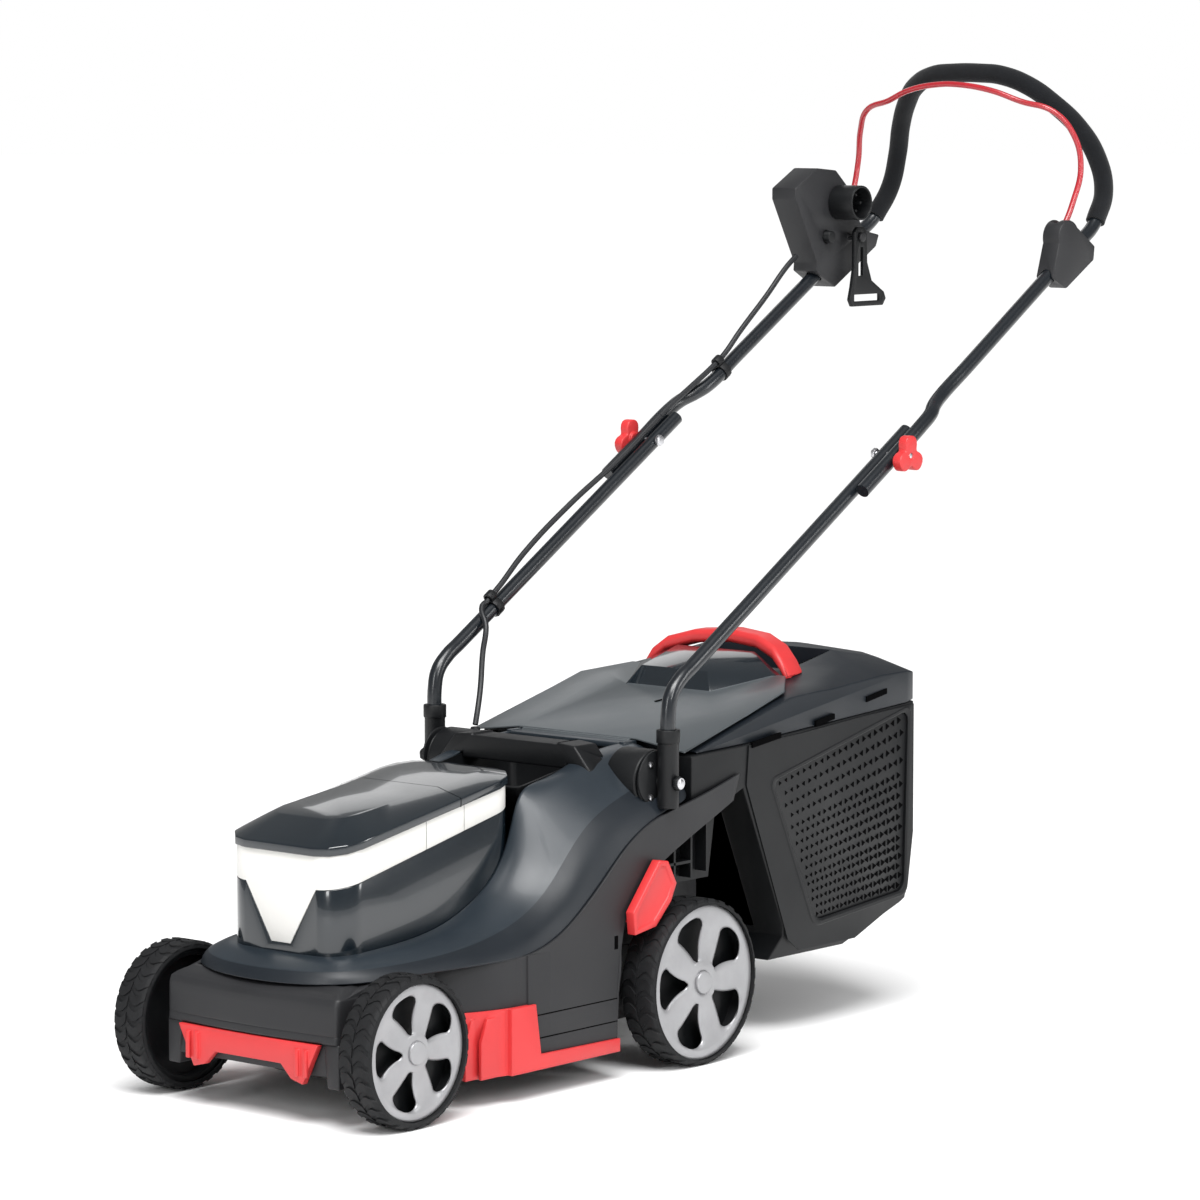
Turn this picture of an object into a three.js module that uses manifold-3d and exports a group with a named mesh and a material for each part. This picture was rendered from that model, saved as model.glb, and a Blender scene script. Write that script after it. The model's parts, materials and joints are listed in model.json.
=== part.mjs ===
// Corded electric rotary lawn mower with a rear grass box.
// Millimetres, +Z up. The mower rolls towards -Y, and +X is the operator's left.
// y is measured from the front axle while the parts are made; the finished
// group is then moved so that its origin is the bottom centre of its box.

import * as THREE from 'three';
import { mergeVertices } from 'three/addons/utils/BufferGeometryUtils.js';
import Module from 'manifold-3d';

const wasm = await Module();
wasm.setup();

// ---------------------------------------------------------------- driving sizes

const GAP = 0.3;                    // clearance between pieces that touch
const RUN = 0.4;                    // radial clearance of a turning fit

const WHEELBASE = 437.5;
const FRONT_WHEEL = { radius: 77.5, rimRadius: 70, width: 41, outerX: 178 };
const REAR_WHEEL = { radius: 89, rimRadius: 83.6, width: 45.6, outerX: 190 };
const ROD_R = 4.5;                  // axle rods
const CRANK_LENGTH = 38;            // axle crank, pivot to axle
const CRANK_ANGLE = 32;             // degrees of the crank above level at the lowest cut

const BLADE_Y = 180;                // cutting axis behind the front axle
const BLADE_LENGTH = 306;
const BLADE_Z = 36;
const CHAMBER_R = 162;              // outer radius of the round blade housing
const WALL = 4;                     // moulded wall of the deck and hood
const SKIRT_X = 165;                // outer face of the side skirts
const SKIRT_Z = 30;                 // lower edge of the side skirts
const SKIRT_END_Y = 322;
const ROOF_Z = 100;                 // top of the blade chamber's roof
const DECK_TOP_Z = 150;             // rim that the hood sits on
const NOSE_X = 118;                 // half width of the deck's nose
const NOSE_FRONT_Y = -50;
const CHUTE_X = 100;                // half width of the discharge chute
const REAR_WALL_X = 126;            // outer face of the rear axle's side walls

const POD_FRONT_Y = -12;
const POD_REAR_Y = 262;
const POD_HALF = 81;                // half width of the motor cover
const POD_WALL = 3;
const CAP_RISE = 0.1825;            // slope of the cap's lower edge, z per y
const CAP_EDGE_Z = 266.2;           // height of that edge at the front axle

const TUBE_R = 8;                   // handle tubes
const LOWER_TUBE_X = 164.6;
const PIVOT_Y = 405;                // fold pivot of the lower handle
const PIVOT_Z = 304;
const BEND_Z = 398;                 // where the lower tube bends back
const HANDLE_SLOPE = 0.6125;        // z per y of the long tubes
const LOWER_TUBE_END_Y = 820;
const CLAMP_Y = 777.4;              // knob and bolt between the two tubes
const UPPER_OVERLAP_X = LOWER_TUBE_X + 2 * TUBE_R + 0.6;
const UPPER_TUBE_X = 166;
const FOAM_R = 11.2;
const BAIL_R = 3.4;
const BAIL_PIVOT_Y = 1116;
const BAIL_PIVOT_Z = 857;

const BASKET_X = 155;               // half width of the grass box
const BASKET_REAR_Y = 850;
const BASKET_FLOOR_Z = 80;
const BASKET_WALL = 3;
const FLAP_HINGE_Y = 447;
const FLAP_HINGE_Z = 331;
const FLAP_PIN_R = 2.5;
const CABLE_R = 3.2;
const CABLE_ENTRY = [-128, 430, 336];   // where the cable leaves the hood's gland
const BOSS_R = 33;                  // round boss behind each handle pivot
const BOSS_X = 150;
const STUD_R = 5;                   // pivot stud of the lower handle

// ---------------------------------------------------------------- finishes

const finish = (color, roughness, metalness = 0) =>
  new THREE.MeshStandardMaterial({ color, roughness, metalness });

const blackPlastic = finish(0x16191d, 0.55);
const greyPlastic = finish(0x4d4e52, 0.6);
const glossBlue = finish(0x1c2a34, 0.22);
const satinBlue = finish(0x48535e, 0.4);
const flapGrey = finish(0x8c9094, 0.45);
const whitePlastic = finish(0xe6e5e2, 0.4);
const redPlastic = finish(0xe04347, 0.45);
const silver = finish(0xb9babd, 0.35, 0.6);
const rubber = finish(0x1a1b1d, 0.85);
const foam = finish(0x17191c, 0.95);
const blackTube = finish(0x14171b, 0.3, 0.4);
const steel = finish(0xb4b6b8, 0.3, 0.9);
const bladeSteel = finish(0x55585b, 0.45, 0.8);
const motorCan = finish(0x8d9093, 0.4, 0.8);

// ---------------------------------------------------------------- shape helpers

// A closed three.js geometry as a manifold solid.
function solid(geometry) {
  const bare = geometry.index ? geometry.toNonIndexed() : geometry.clone();
  bare.deleteAttribute('normal');
  bare.deleteAttribute('uv');
  const merged = mergeVertices(bare, 1e-4);
  const vertProperties = Float32Array.from(merged.attributes.position.array);
  const triVerts = Uint32Array.from(merged.index.array);
  const made = (triangles) => new wasm.Manifold(new wasm.Mesh({
    numProp: 3, vertProperties, triVerts: triangles,
  }));
  const body = made(triVerts);
  return body.volume() > 0 ? body : made(triVerts.slice().reverse());
}

// A manifold solid as a three.js geometry.
function geometryOf(body) {
  const mesh = body.getMesh();
  const geometry = new THREE.BufferGeometry();
  const position = new Float32Array(mesh.numVert * 3);
  for (let i = 0; i < mesh.numVert; i += 1) {
    for (let k = 0; k < 3; k += 1) position[3 * i + k] = mesh.vertProperties[i * mesh.numProp + k];
  }
  geometry.setAttribute('position', new THREE.BufferAttribute(position, 3));
  geometry.setIndex([...mesh.triVerts]);
  geometry.computeVertexNormals();
  return geometry;
}

const join = (...bodies) => bodies.reduce((sum, body) => sum.add(body));
const cut = (body, ...tools) => tools.reduce((left, tool) => left.subtract(tool), body);

function box(x0, x1, y0, y1, z0, z1) {
  const geometry = new THREE.BoxGeometry(x1 - x0, y1 - y0, z1 - z0);
  return solid(geometry.translate((x0 + x1) / 2, (y0 + y1) / 2, (z0 + z1) / 2));
}

const shapeOf = (points) => new THREE.Shape(points.map(([u, v]) => new THREE.Vector2(u, v)));

const TO_X = new THREE.Matrix4().makeBasis(
  new THREE.Vector3(0, 1, 0), new THREE.Vector3(0, 0, 1), new THREE.Vector3(1, 0, 0));
const TO_Y = new THREE.Matrix4().makeBasis(
  new THREE.Vector3(1, 0, 0), new THREE.Vector3(0, 0, 1), new THREE.Vector3(0, -1, 0));

const extrude = (shape, depth, curveSegments = 6) =>
  new THREE.ExtrudeGeometry(shape, { depth, bevelEnabled: false, curveSegments });

// Prisms of a closed outline: [y, z] along X, [x, z] along Y and [x, y] along Z.
const prismX = (shape, x0, x1) => solid(extrude(shape, x1 - x0).applyMatrix4(TO_X).translate(x0, 0, 0));
const prismY = (shape, y0, y1) => solid(extrude(shape, y1 - y0).applyMatrix4(TO_Y).translate(0, y1, 0));
const prismZ = (shape, z0, z1) => solid(extrude(shape, z1 - z0).translate(0, 0, z0));

function cylinderX(radius, x0, x1, y, z, sides = 16) {
  const geometry = new THREE.CylinderGeometry(radius, radius, x1 - x0, sides);
  return solid(geometry.rotateZ(Math.PI / 2).translate((x0 + x1) / 2, y, z));
}

function cylinderZ(radius, z0, z1, x, y, sides = 24, topRadius = radius) {
  const geometry = new THREE.CylinderGeometry(topRadius, radius, z1 - z0, sides);
  return solid(geometry.rotateX(Math.PI / 2).translate(x, y, (z0 + z1) / 2));
}

// A turned piece on the X axis from a closed profile of [radius, x].
function turnedX(profile, sides, x, y, z) {
  const outline = [...profile, profile[0]].map(([r, a]) => new THREE.Vector2(r, a));
  const geometry = new THREE.LatheGeometry(outline, sides);
  return solid(geometry.rotateZ(-Math.PI / 2).translate(x, y, z));
}

// A round bar along a list of points, with its corners rounded to a radius.
function barPath(points, bend) {
  const corners = points.map((p) => new THREE.Vector3(...p));
  const path = new THREE.CurvePath();
  let from = corners[0];
  for (let i = 1; i < corners.length - 1; i += 1) {
    const before = corners[i].clone().sub(corners[i - 1]);
    const after = corners[i + 1].clone().sub(corners[i]);
    const reach = Math.min(bend, before.length() / 2.05, after.length() / 2.05);
    const enter = corners[i].clone().addScaledVector(before.normalize(), -reach);
    const leave = corners[i].clone().addScaledVector(after.normalize(), reach);
    path.add(new THREE.LineCurve3(from, enter));
    path.add(new THREE.QuadraticBezierCurve3(enter, corners[i], leave));
    from = leave;
  }
  path.add(new THREE.LineCurve3(from, corners[corners.length - 1]));
  return path;
}

// A swept solid of round rings, square to the path, through chosen stations.
function sweep(path, radius, sides, stations) {
  const rings = [];
  let across = null;
  stations.forEach((t) => {
    const centre = path.getPointAt(t);
    const along = path.getTangentAt(t).normalize();
    if (!across) {
      const side = Math.abs(along.x) < 0.9 ? new THREE.Vector3(1, 0, 0) : new THREE.Vector3(0, 0, 1);
      across = side;
    }
    across = across.clone().addScaledVector(along, -across.dot(along)).normalize();
    const other = along.clone().cross(across);
    const ring = [];
    for (let k = 0; k < sides; k += 1) {
      const angle = (2 * Math.PI * k) / sides;
      ring.push(centre.clone().addScaledVector(across, radius * Math.cos(angle))
        .addScaledVector(other, radius * Math.sin(angle)));
    }
    rings.push(ring);
  });
  return loft(rings);
}

const evenStations = (count) => Array.from({ length: count + 1 }, (_, i) => i / count);

// Stations that follow a bar's bends: the ends of each stretch, and steps round each bend.
function bendStations(path, steps) {
  const lengths = path.getCurveLengths();
  const total = lengths[lengths.length - 1];
  const stations = [0];
  path.curves.forEach((curve, i) => {
    const start = i === 0 ? 0 : lengths[i - 1];
    const count = curve.isLineCurve3 ? 1 : steps;
    for (let k = 1; k <= count; k += 1) stations.push((start + ((lengths[i] - start) * k) / count) / total);
  });
  return stations;
}

function bar(points, radius, { bend = 12, sides = 10, steps = 4 } = {}) {
  const path = barPath(points, bend);
  path.arcLengthDivisions = 400;
  return sweep(path, radius, sides, bendStations(path, steps));
}

// A closed solid through a list of rings with the same number of points.
function loft(rings) {
  const count = rings[0].length;
  const position = rings.flat().flatMap((p) => [p.x, p.y, p.z]);
  const index = [];
  for (let i = 0; i < rings.length - 1; i += 1) {
    for (let k = 0; k < count; k += 1) {
      const a = i * count + k;
      const b = i * count + ((k + 1) % count);
      index.push(a, b, b + count, a, b + count, a + count);
    }
  }
  const cap = (ring, offset, reverse) => {
    const normal = new THREE.Vector3();
    ring.forEach((p, k) => normal.add(p.clone().cross(ring[(k + 1) % count])));
    normal.normalize();
    const u = Math.abs(normal.z) > 0.9 ? new THREE.Vector3(1, 0, 0) : new THREE.Vector3(0, 0, 1);
    u.addScaledVector(normal, -u.dot(normal)).normalize();
    const v = normal.clone().cross(u);
    const flat = ring.map((p) => new THREE.Vector2(p.dot(u), p.dot(v)));
    THREE.ShapeUtils.triangulateShape(flat, []).forEach(([a, b, c]) => {
      if (reverse) index.push(offset + a, offset + c, offset + b);
      else index.push(offset + a, offset + b, offset + c);
    });
  };
  cap(rings[0], 0, true);
  cap(rings[rings.length - 1], (rings.length - 1) * count, false);
  const geometry = new THREE.BufferGeometry();
  geometry.setAttribute('position', new THREE.Float32BufferAttribute(position, 3));
  geometry.setIndex(index);
  return solid(geometry);
}

// A rounded rectangle from (x0, y0) to (x1, y1), as a THREE.Shape.
function roundedRectangle(x0, x1, y0, y1, r) {
  const shape = new THREE.Shape();
  shape.moveTo(x0 + r, y0);
  shape.lineTo(x1 - r, y0);
  shape.absarc(x1 - r, y0 + r, r, -Math.PI / 2, 0);
  shape.lineTo(x1, y1 - r);
  shape.absarc(x1 - r, y1 - r, r, 0, Math.PI / 2);
  shape.lineTo(x0 + r, y1);
  shape.absarc(x0 + r, y1 - r, r, Math.PI / 2, Math.PI);
  shape.lineTo(x0, y0 + r);
  shape.absarc(x0 + r, y0 + r, r, Math.PI, 1.5 * Math.PI);
  return shape;
}

const mirrorX = (body) => body.mirror([1, 0, 0]);

const mower = new THREE.Group();

function add(name, body, material) {
  const mesh = new THREE.Mesh(geometryOf(body), material);
  mesh.name = name;
  mower.add(mesh);
}

// ---------------------------------------------------------------- axles and wheels

const radians = THREE.MathUtils.degToRad;
const CRANK_Y = CRANK_LENGTH * Math.cos(radians(CRANK_ANGLE));
const CRANK_Z = CRANK_LENGTH * Math.sin(radians(CRANK_ANGLE));

const frontAxle = { y: 0, z: FRONT_WHEEL.radius, armX: 127, wheel: FRONT_WHEEL };
const rearAxle = { y: WHEELBASE, z: REAR_WHEEL.radius, armX: 134.5, wheel: REAR_WHEEL };
for (const axle of [frontAxle, rearAxle]) {
  axle.pivotY = axle.y - CRANK_Y;
  axle.pivotZ = axle.z - CRANK_Z;
  axle.stubX = axle.wheel.outerX - 9;
}

// The link rod runs beside the chute and is held by a lug on each pivot rod.
const LUG_LENGTH = 44;
const LUG_ANGLE = 80;
const LUG_Y = LUG_LENGTH * Math.cos(radians(LUG_ANGLE));
const LUG_Z = LUG_LENGTH * Math.sin(radians(LUG_ANGLE));
const LINK_X = [-108.5, -104.5];
const LUG_X = [-114, -109];
const LINK_PIN_R = 3;

function axleRod(axle) {
  const { y, z, armX, stubX, pivotY, pivotZ } = axle;
  const rod = bar([
    [-stubX, y, z], [-armX, y, z], [-armX, pivotY, pivotZ],
    [armX, pivotY, pivotZ], [armX, y, z], [stubX, y, z],
  ], ROD_R, { bend: 7, sides: 10, steps: 2 });
  const lug = prismX(lugOutline(pivotY, pivotZ), ...LUG_X);
  const pin = cylinderX(LINK_PIN_R, LUG_X[1] - 1, LINK_X[1] + 1.5, pivotY + LUG_Y, pivotZ + LUG_Z, 10);
  return join(rod, lug, pin);
}

// A flat lug from the pivot rod to the link's pin, with round ends.
function lugOutline(y, z) {
  const tilt = radians(LUG_ANGLE);
  const shape = new THREE.Shape();
  shape.absarc(y, z, 8, tilt + Math.PI / 2, tilt + 1.5 * Math.PI);
  shape.absarc(y + LUG_Y, z + LUG_Z, 6, tilt - Math.PI / 2, tilt + Math.PI / 2);
  return shape;
}

function heightLink() {
  const front = [frontAxle.pivotY + LUG_Y, frontAxle.pivotZ + LUG_Z];
  const rear = [rearAxle.pivotY + LUG_Y, rearAxle.pivotZ + LUG_Z];
  const run = 136.5;
  const outline = shapeOf([
    [front[0] - 7, front[1] - 7], [front[0] + 8, front[1] - 7], [front[0] + 46, run - 4],
    [rear[0] - 30, run - 4], [rear[0] + 2, rear[1] - 7], [rear[0] + 8, rear[1] - 3],
    [rear[0] + 8, rear[1] + 7], [rear[0] - 26, run + 4], [front[0] + 42, run + 4],
    [front[0] - 7, front[1] + 7],
  ]);
  const holeR = LINK_PIN_R + RUN;
  return cut(
    prismX(outline, ...LINK_X),
    cylinderX(holeR, LINK_X[0] - 1, LINK_X[1] + 1, ...rear, 12),
    cylinderX(holeR + 0.6, LINK_X[0] - 1, LINK_X[1] + 1, ...front, 12),
  );
}

const LEVER_X = SKIRT_X + 7;        // middle of the height lever's paddle
const LEVER_HUB_X = [106, 116];

function heightLever() {
  const { pivotY: y, pivotZ: z } = rearAxle;
  const hub = cut(
    cylinderX(ROD_R + 5, ...LEVER_HUB_X, y, z, 16),
    cylinderX(ROD_R + GAP, LEVER_HUB_X[0] - 1, LEVER_HUB_X[1] + 1, y, z, 20),
  );
  const stalk = cut(
    prismX(shapeOf([
      [y - 7, z + 3], [y + 6, z + 6], [y - 45, z + 104], [y - 60, z + 104], [y - 60, z + 92],
    ]), LEVER_HUB_X[0] + 1, LEVER_HUB_X[0] + 7),
    cylinderX(ROD_R + GAP, LEVER_HUB_X[0] - 1, LEVER_HUB_X[1] + 1, y, z, 20),
  );
  const arm = box(LEVER_HUB_X[0] + 1, LEVER_X, y - 59, y - 47, z + 93, z + 103);
  const paddle = prismX(shapeOf([
    [y - 71, z + 83], [y - 37, z + 88], [y - 12, z + 112], [y - 3, z + 130],
    [y - 17, z + 155], [y - 31, z + 157], [y - 60, z + 123], [y - 74, z + 107],
  ]), LEVER_X - 4, LEVER_X + 7);
  return join(hub, stalk, arm, paddle);
}

add('front_axle', axleRod(frontAxle), steel);
add('rear_axle', axleRod(rearAxle), steel);
add('height_link', heightLink(), steel);
add('height_lever', heightLever(), redPlastic);

const WHEEL_SIDES = 28;

function tyre(wheel, x, y, z) {
  const half = wheel.width / 2;
  const inner = wheel.rimRadius + GAP;
  return turnedX([
    [inner, -half + 3], [wheel.radius - 3, -half], [wheel.radius, -half + 6],
    [wheel.radius, half - 6], [wheel.radius - 3, half], [inner, half - 3],
  ], WHEEL_SIDES, x, y, z);
}

// The black wheel: hub, web and the barrel under the tyre. side is +1 on the left.
function wheelCore(wheel, side, x, y, z) {
  const half = wheel.width / 2;
  const rim = wheel.rimRadius;
  const bore = ROD_R + RUN;
  const profile = [
    [bore, -half + 1], [13, -half + 1], [13, -6], [rim - 7, -6], [rim - 7, -half + 3],
    [rim, -half + 3], [rim, half - 8.3], [rim - 3, half - 8.3], [rim - 3, -1], [13, -1],
    [13, half - 12], [bore, half - 12],
  ];
  return turnedX(profile.map(([r, a]) => [r, side * a]), WHEEL_SIDES, x, y, z);
}

const SPOKES = 5;
const HUB_CAP_R = 13.5;

// One rounded opening between two spokes, as a hole of the cover's shape.
function coverOpening(rim, index) {
  const middle = (2 * Math.PI * (index + 0.5)) / SPOKES;
  const at = (radius, spread) => [
    radius * Math.cos(middle + spread), radius * Math.sin(middle + spread)];
  const hole = new THREE.Path();
  hole.moveTo(...at(0.33 * rim, -0.16));
  hole.lineTo(...at(0.72 * rim, -0.36));
  hole.quadraticCurveTo(...at(0.84 * rim, -0.34), ...at(0.85 * rim, -0.2));
  hole.lineTo(...at(0.85 * rim, 0.2));
  hole.quadraticCurveTo(...at(0.84 * rim, 0.34), ...at(0.72 * rim, 0.36));
  hole.lineTo(...at(0.33 * rim, 0.16));
  hole.quadraticCurveTo(...at(0.27 * rim, 0), ...at(0.33 * rim, -0.16));
  return hole;
}

// The silver cover with five openings and its hub cap, which closes the axle's end.
function wheelCover(wheel, side, x, y, z) {
  const half = wheel.width / 2;
  const shape = new THREE.Shape().absarc(0, 0, wheel.rimRadius - 0.2, 0, 2 * Math.PI);
  for (let i = 0; i < SPOKES; i += 1) shape.holes.push(coverOpening(wheel.rimRadius, i));
  const face = new THREE.ExtrudeGeometry(shape, { depth: 4, bevelEnabled: false, curveSegments: 5 });
  const inner = half - 8;
  const disc = solid(face.applyMatrix4(TO_X).translate(inner, 0, 0));
  const cap = cylinderX(HUB_CAP_R, inner, half, 0, 0, 20);
  const cover = join(disc, cap);
  const placed = side > 0 ? cover : mirrorX(cover);
  return placed.translate([x, y, z]);
}

for (const [end, axle] of [['front', frontAxle], ['rear', rearAxle]]) {
  for (const [hand, side] of [['left', 1], ['right', -1]]) {
    const { wheel, y, z } = axle;
    const x = side * (wheel.outerX - wheel.width / 2);
    add(`${end}_tyre_${hand}`, tyre(wheel, x, y, z), rubber);
    add(`${end}_wheel_${hand}`, wheelCore(wheel, side, x, y, z), blackPlastic);
    add(`${end}_wheel_cover_${hand}`, wheelCover(wheel, side, x, y, z), silver);
  }
}

// ---------------------------------------------------------------- cutting parts

function motorShaft() {
  return join(
    cylinderZ(8, BLADE_Z + 9.3, 238, 0, BLADE_Y, 16),
    cylinderZ(11, 124, 130, 0, BLADE_Y, 16),
  );
}

const FAN_R = 46;

function coolingFan() {
  const disc = cylinderZ(FAN_R, 80, 83, 0, BLADE_Y, 32);
  const hub = cylinderZ(14, 74.5, 92, 0, BLADE_Y, 16);
  let fan = join(disc, hub);
  const blades = 8;
  for (let i = 0; i < blades; i += 1) {
    const vane = box(13, FAN_R - 2, -1.2, 1.2, 82, 92).rotate([0, 0, (360 * i) / blades]);
    fan = fan.add(vane.translate([0, BLADE_Y, 0]));
  }
  return cut(fan, cylinderZ(8 + GAP, 70, 110, 0, BLADE_Y, 16));
}

const BLADE_HALF_WIDTH = 23;

function blade() {
  const half = BLADE_LENGTH / 2;
  const shape = shapeOf([
    [-half, -6], [-half + 12, -BLADE_HALF_WIDTH], [-50, -BLADE_HALF_WIDTH], [-34, -BLADE_HALF_WIDTH - 3],
    [34, -BLADE_HALF_WIDTH - 3], [50, -BLADE_HALF_WIDTH], [half, -BLADE_HALF_WIDTH],
    [half, 6], [half - 12, BLADE_HALF_WIDTH], [50, BLADE_HALF_WIDTH], [34, BLADE_HALF_WIDTH + 3],
    [-34, BLADE_HALF_WIDTH + 3], [-50, BLADE_HALF_WIDTH], [-half, BLADE_HALF_WIDTH],
  ]);
  const flat = prismZ(shape, BLADE_Z, BLADE_Z + 3);
  // The trailing edge of each end is turned up as a wing that blows the grass.
  const wing = shapeOf([
    [BLADE_HALF_WIDTH - 12, BLADE_Z], [BLADE_HALF_WIDTH, BLADE_Z + 12], [BLADE_HALF_WIDTH - 2, BLADE_Z + 14],
    [BLADE_HALF_WIDTH - 13, BLADE_Z + 3],
  ]);
  const wingRight = prismX(wing, half - 70, half - 12);
  const wingLeft = wingRight.rotate([0, 0, 180]);
  const trimmed = cut(
    flat,
    box(half - 70, half - 12, BLADE_HALF_WIDTH - 11, 60, 0, 90),
    box(-half + 12, -half + 70, -60, -BLADE_HALF_WIDTH + 11, 0, 90),
  );
  const bored = cut(join(trimmed, wingRight, wingLeft), cylinderZ(8, 0, 90, 0, 0, 16));
  return bored.translate([0, BLADE_Y, 0]);
}

// The carrier under the shaft that the blade is clamped to, with its cooling ribs left out.
function bladeCarrier() {
  const body = join(
    cylinderZ(30, BLADE_Z + 3 + GAP, BLADE_Z + 9, 0, BLADE_Y, 24),
    cylinderZ(15, BLADE_Z + 9, 74, 0, BLADE_Y, 20, 13),
  );
  return cut(body, cylinderZ(8 + GAP, BLADE_Z + 9, 90, 0, BLADE_Y, 16), cylinderZ(5 + RUN, 0, 90, 0, BLADE_Y, 12));
}

function bladeBolt() {
  return join(
    cylinderZ(8.5, BLADE_Z - 5.5, BLADE_Z - 1.5 - GAP, 0, BLADE_Y, 6),
    cylinderZ(14, BLADE_Z - 1.5 - GAP, BLADE_Z - GAP, 0, BLADE_Y, 20),
    cylinderZ(5, BLADE_Z - 2, BLADE_Z + 9, 0, BLADE_Y, 12),
  );
}

const MOTOR_R = 52;
const MOTOR_Z = [132.3, 236];

function motor() {
  const can = join(
    cylinderZ(MOTOR_R, MOTOR_Z[0], MOTOR_Z[1] - 12, 0, BLADE_Y, 32),
    cylinderZ(MOTOR_R, MOTOR_Z[1] - 12, MOTOR_Z[1], 0, BLADE_Y, 32, MOTOR_R - 14),
  );
  const shaftHole = cylinderZ(8 + RUN, 0, 300, 0, BLADE_Y, 20);
  return cut(can, shaftHole, cylinderZ(20, 0, MOTOR_Z[0] + 3, 0, BLADE_Y, 20));
}

function motorMount() {
  const plate = cylinderZ(66, ROOF_Z + 18, MOTOR_Z[0] - GAP, 0, BLADE_Y, 32);
  let mount = plate;
  for (const angle of [45, 135, 225, 315]) {
    const a = radians(angle);
    mount = mount.add(cylinderZ(8, ROOF_Z + GAP, ROOF_Z + 20, 56 * Math.cos(a), BLADE_Y + 56 * Math.sin(a), 12));
  }
  return cut(mount, cylinderZ(20, 0, 300, 0, BLADE_Y, 20));
}

add('motor_shaft', motorShaft(), steel);
add('cooling_fan', coolingFan(), blackPlastic);
add('blade', blade(), bladeSteel);
add('blade_carrier', bladeCarrier(), blackPlastic);
add('blade_bolt', bladeBolt(), steel);
add('motor', motor(), motorCan);
add('motor_mount', motorMount(), blackPlastic);

// ---------------------------------------------------------------- hood

// Half sections of the hood from the middle out to its lower edge: y, then [x, z].
const HOOD_SECTIONS = [
  [POD_FRONT_Y, [0, 160], [40, 160], [62, 158], [75, 155], [82, 150], [86, 142]],
  [35, [0, 166], [45, 166], [80, 166], [104, 168], [118, 164], [124, 152]],
  [90, [0, 168], [50, 168], [88, 170], [116, 176], [142, 172], [152, 160]],
  [175, [0, 170], [55, 170], [92, 174], [124, 181], [152, 176], [163, 160]],
  [240, [0, 200], [55, 198], [92, 194], [124, 197], [152, 188], [163, 160]],
  [285, [0, 300], [50, 290], [88, 255], [122, 230], [150, 208], [163, 174]],
  [330, [0, 328], [56, 322], [90, 296], [118, 265], [148, 244], [162, 214]],
  [375, [0, 336], [60, 336], [92, 312], [114, 287], [146, 268], [160, 243]],
  [437, [0, 339], [72, 339], [84, 338], [112, 316], [142, 300], [153, 281]],
];

// The hood's outside as a solid down to a lower edge, moved in by a wall.
function hoodSolid(wall, drop) {
  const rings = HOOD_SECTIONS.map(([y, ...half]) => {
    const outer = half.map(([x, z], i) => {
      const before = half[Math.max(i - 1, 0)];
      const after = half[Math.min(i + 1, half.length - 1)];
      const along = new THREE.Vector2(after[0] - before[0], after[1] - before[1]).normalize();
      const inX = i === 0 ? 0 : along.y;
      const inZ = i === 0 ? -1 : -along.x;
      return [x + wall * inX, z + wall * inZ];
    });
    const [edgeX, edgeZ] = outer[outer.length - 1];
    const right = [...outer, [edgeX, edgeZ - drop]];
    const left = right.slice(1).map(([x, z]) => [-x, z]).reverse();
    return [...left, ...right].map(([x, z]) => new THREE.Vector3(x, y, z));
  });
  if (wall > 0) {
    rings[0].forEach((p) => { p.y -= wall; });
    rings[rings.length - 1].forEach((p) => { p.y += wall; });
  }
  return loft(rings);
}

const podOutline = (inset) => roundedRectangle(
  -POD_HALF + inset, POD_HALF - inset, POD_FRONT_Y + inset, POD_REAR_Y - inset, 34 - inset);

const RECESS = { x: 74, y0: 292, y1: 429, floor: 268 };

const recess = () => box(-RECESS.x, RECESS.x, RECESS.y0, RECESS.y1, RECESS.floor, 400);

function hood() {
  const outside = hoodSolid(0, 0.5);
  const inside = hoodSolid(WALL, 40);
  const shell = cut(outside, inside);
  const tray = box(
    -RECESS.x - WALL, RECESS.x + WALL, RECESS.y0 - WALL, RECESS.y1 + WALL, RECESS.floor - WALL, 400,
  ).intersect(outside);
  const podHole = prismZ(podOutline(-GAP), 100, 400);
  // Round bosses beside the hood that carry the handle's pivots, and the cable's gland.
  const boss = cylinderX(BOSS_R, 96, BOSS_X, PIVOT_Y, PIVOT_Z, 28).subtract(inside);
  const gland = cylinderZ(8, CABLE_ENTRY[2] - 20, CABLE_ENTRY[2] - GAP, CABLE_ENTRY[0], CABLE_ENTRY[1], 14, 5);
  const ears = join(box(76, 83, 430, 452, 325, 337), box(-83, -76, 430, 452, 325, 337));
  const pinHole = cylinderX(FLAP_PIN_R + 0.1, -90, 90, FLAP_HINGE_Y, FLAP_HINGE_Z, 12);
  const studHole = cylinderX(STUD_R + 0.1, -200, 200, PIVOT_Y, PIVOT_Z, 12);
  return cut(join(shell, tray, boss, mirrorX(boss), gland, ears), recess(), podHole, pinHole, studHole);
}

// ---------------------------------------------------------------- deck

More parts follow.
